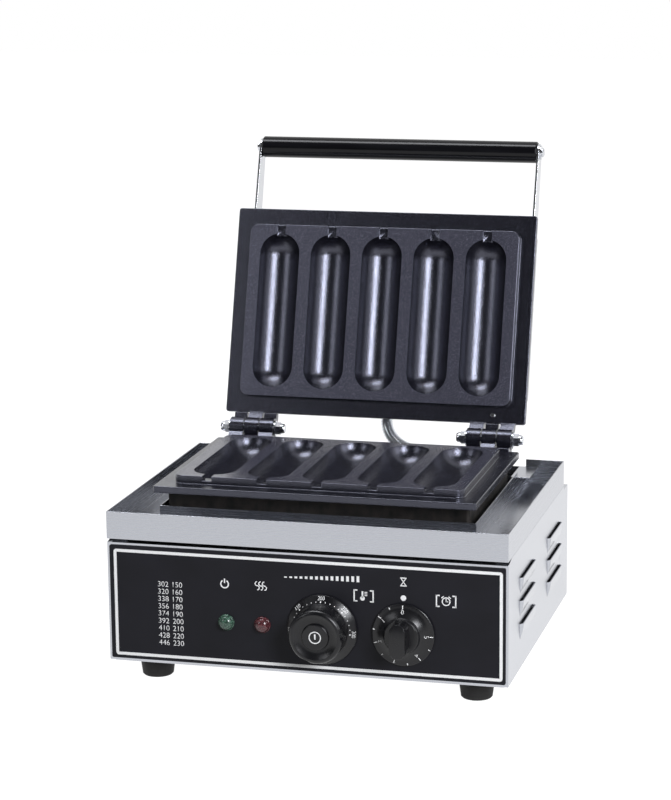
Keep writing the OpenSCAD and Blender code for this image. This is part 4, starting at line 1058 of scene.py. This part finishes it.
@dataclass
class Studio:
    """Camera at the photograph's view, lamps, a pale floor and a surround that looks white."""

    eye: Vector = field(default_factory=lambda: Vector((577.6, -2220.9, 724.1)))
    yaw_deg: float = 14.79
    pitch_deg: float = 12.22
    roll_deg: float = -0.56
    lens: float = 119.66
    sensor: float = 36.0
    far: float = 30.0
    floor_half: float = 6.0
    floor_grey: str = "#787878"
    floor_glow: float = 0.98
    fill: float = 0.25
    # Mirrors see the surround go from dim in front to white behind, between these two ways
    front_dim: float = 0.06
    dim_until: float = -0.35
    white_from: float = 0.3

    def build(self) -> None:
        """Set up the camera, the lamps, the floor and the world."""
        self.camera()
        for lamp in LAMPS:
            lamp.hang()
        self.floor()
        self.world()
        bpy.context.scene.view_settings.view_transform = "Standard"

    def camera(self) -> None:
        """Place the camera by its yaw, pitch and roll."""
        yaw, pitch, roll = (math.radians(d) for d in (self.yaw_deg, self.pitch_deg, self.roll_deg))
        back = Vector((math.sin(yaw) * math.cos(pitch), -math.cos(yaw) * math.cos(pitch),
                       math.sin(pitch)))
        right = Vector((0, 0, 1)).cross(back).normalized()
        up = back.cross(right)
        across = right * math.cos(roll) + up * math.sin(roll)
        above = up * math.cos(roll) - right * math.sin(roll)
        data = bpy.data.cameras.new("photo_camera")
        data.lens = self.lens
        data.sensor_width = self.sensor
        data.clip_end = self.far
        eye = bpy.data.objects.new("photo_camera", data)
        turn = Matrix((across, above, back)).transposed().to_4x4()
        eye.matrix_world = Matrix.Translation(at(*self.eye)) @ turn
        bpy.context.scene.collection.objects.link(eye)
        bpy.context.scene.camera = eye

    def seen(self, tree: Tree) -> Socket:
        """Tell whether a ray comes from the camera or a mirror-like or clear surface.

        Args:
            tree: The node tree that asks.

        Returns:
            One for such a ray and zero for any other.
        """
        path = add_node(tree, "ShaderNodeLightPath").outputs
        first = add_node(tree, "ShaderNodeMath", {
            0: path["Is Camera Ray"], 1: path["Is Glossy Ray"]}, operation="MAXIMUM")
        return add_node(tree, "ShaderNodeMath", {
            0: first.outputs[0], 1: path["Is Transmission Ray"]}, operation="MAXIMUM").outputs[0]

    def floor(self) -> None:
        """Lay a pale floor that keeps the shadow and is white where the light reaches it."""
        plane = bmesh.new()
        bmesh.ops.create_grid(plane, x_segments=1, y_segments=1, size=self.floor_half)
        mesh = bpy.data.meshes.new("studio_floor")
        plane.to_mesh(mesh)
        plane.free()
        ground = bpy.data.objects.new("studio_floor", mesh)
        bpy.context.scene.collection.objects.link(ground)
        paint = bpy.data.materials.new("studio_floor_white")
        paint.use_nodes = True
        tree = paint.node_tree
        tree.nodes.clear()
        matt = add_node(tree, "ShaderNodeBsdfDiffuse", {"Color": linear(self.floor_grey)})
        glow = add_node(tree, "ShaderNodeEmission", {"Strength": self.floor_glow})
        lit = add_node(tree, "ShaderNodeAddShader", {0: matt.outputs[0], 1: glow.outputs[0]})
        both = add_node(tree, "ShaderNodeMixShader", {
            0: self.seen(tree), 1: matt.outputs[0], 2: lit.outputs[0]})
        add_node(tree, "ShaderNodeOutputMaterial", {"Surface": both.outputs[0]})
        mesh.materials.append(paint)

    def world(self) -> None:
        """Surround the scene with white for the eye and softer light for the surfaces."""
        world = bpy.data.worlds.new("studio_white")
        world.use_nodes = True
        tree = world.node_tree
        tree.nodes.clear()
        way = add_node(tree, "ShaderNodeSeparateXYZ", {
            0: add_node(tree, "ShaderNodeTexCoord").outputs["Generated"]})
        back = add_node(tree, "ShaderNodeMapRange", {
            "Value": way.outputs[1], "From Min": self.dim_until, "From Max": self.white_from,
            "To Min": self.front_dim, "To Max": 1.0})
        path = add_node(tree, "ShaderNodeLightPath")
        bright = add_node(tree, "ShaderNodeMath", {
            0: back.outputs[0], 1: path.outputs["Is Camera Ray"]}, operation="MAXIMUM")
        soft = add_node(tree, "ShaderNodeBackground", {
            "Color": (1, 1, 1, 1), "Strength": self.fill})
        white = add_node(tree, "ShaderNodeBackground", {
            "Color": (1, 1, 1, 1), "Strength": bright.outputs[0]})
        both = add_node(tree, "ShaderNodeMixShader", {
            0: self.seen(tree), 1: soft.outputs[0], 2: white.outputs[0]})
        add_node(tree, "ShaderNodeOutputWorld", {"Surface": both.outputs[0]})
        bpy.context.scene.world = world


def dress_parts() -> None:
    """Give each part of the frame the finish of its material slot."""
    for subpart in frame["record"]["subparts"]:
        part = frame["nodes"][subpart["node"]]
        for holder in part.material_slots:
            holder.material = FINISHES[subpart["material_slot"]].material()
        LOG.info("%s: %s", subpart["node"], subpart["material_slot"])


def timer_skirt(rim_r: float = 26.2, width: float = 10.4, edge_h: float = 3.0, rise: float = 4.0,
                steps: int = 6) -> list[tuple[float, float]]:
    """Give the hollow curve of the timer knob's skirt, from its rim inwards.

    Args:
        rim_r: Radius of the rim.
        width: How far in the skirt reaches.
        edge_h: Height of the rim above the panel.
        rise: How much the skirt rises.
        steps: How many steps the curve has.

    Returns:
        Radius and height of each point.
    """
    turns = [math.pi / 2 * k / steps for k in range(steps + 1)]
    return [(rim_r - k / steps * width, edge_h + rise * (1 - math.cos(turn)))
            for k, turn in enumerate(turns)]


# Radius and height of the temperature knob's skirt and of its cap
TEMPERATURE_SKIRT = ((30.5, 2.4), (29.7, 3.2), (24.5, 7.0))
TEMPERATURE_CAP = ((9.6, 26.4), (0.0, 26.0))

# The parts that get rounded edges, with the radius in millimetres
ROUNDED = (
    SoftEdges("base_housing", Body.BASE, "stainless_sheet", 0.2),
    # The plates' broadest flats get a painted sheen: a paler coat than the rest
    SoftEdges("lower_mould_plate", Body.BASE, "nonstick_casting", 0.75, ground=(0, 0, 1)),
    SoftEdges("upper_mould_plate", Body.LID, "nonstick_casting", 0.75, ground=OPEN_LID_FACE),
    SoftEdges("temperature_knob", Body.TEMPERATURE, "black_plastic", 0.3),
    SoftEdges("timer_knob", Body.TIMER, "black_plastic", 0.3),
    SoftEdges("power_lamp_lens", Body.BASE, "lens_green", 0.15),
    SoftEdges("heat_lamp_lens", Body.BASE, "lens_red", 0.15),
    SoftEdges("handle_arm_left", Body.LID, "bright_steel", 0.3),
    SoftEdges("handle_arm_right", Body.LID, "bright_steel", 0.3),
    SoftEdges("lid_cover", Body.LID, "stainless_sheet", 0.4),
    SoftEdges("drip_tray", Body.BASE, "stainless_sheet", 0.35, finish="tray_sheet"),
    SoftEdges("handle_grip", Body.LID, "grip_black", 0.8),
)


def main() -> None:
    """Build the scene's pieces in order and log each piece as it is made."""
    logging.basicConfig(level=logging.INFO, format="%(message)s")
    Studio().build()
    dress_parts()
    for part in (
        RibbedHose(),
        PanelPrint(),
        TemperatureDial(Body.TEMPERATURE, TEMPERATURE_X, TEMPERATURE_SKIRT),
        CapMark(Body.TEMPERATURE, TEMPERATURE_X, TEMPERATURE_CAP),
        TimerDial(Body.TIMER, TIMER_X, timer_skirt()),
        *ROUNDED,
    ):
        part.build()


if __name__ == "__main__":
    main()
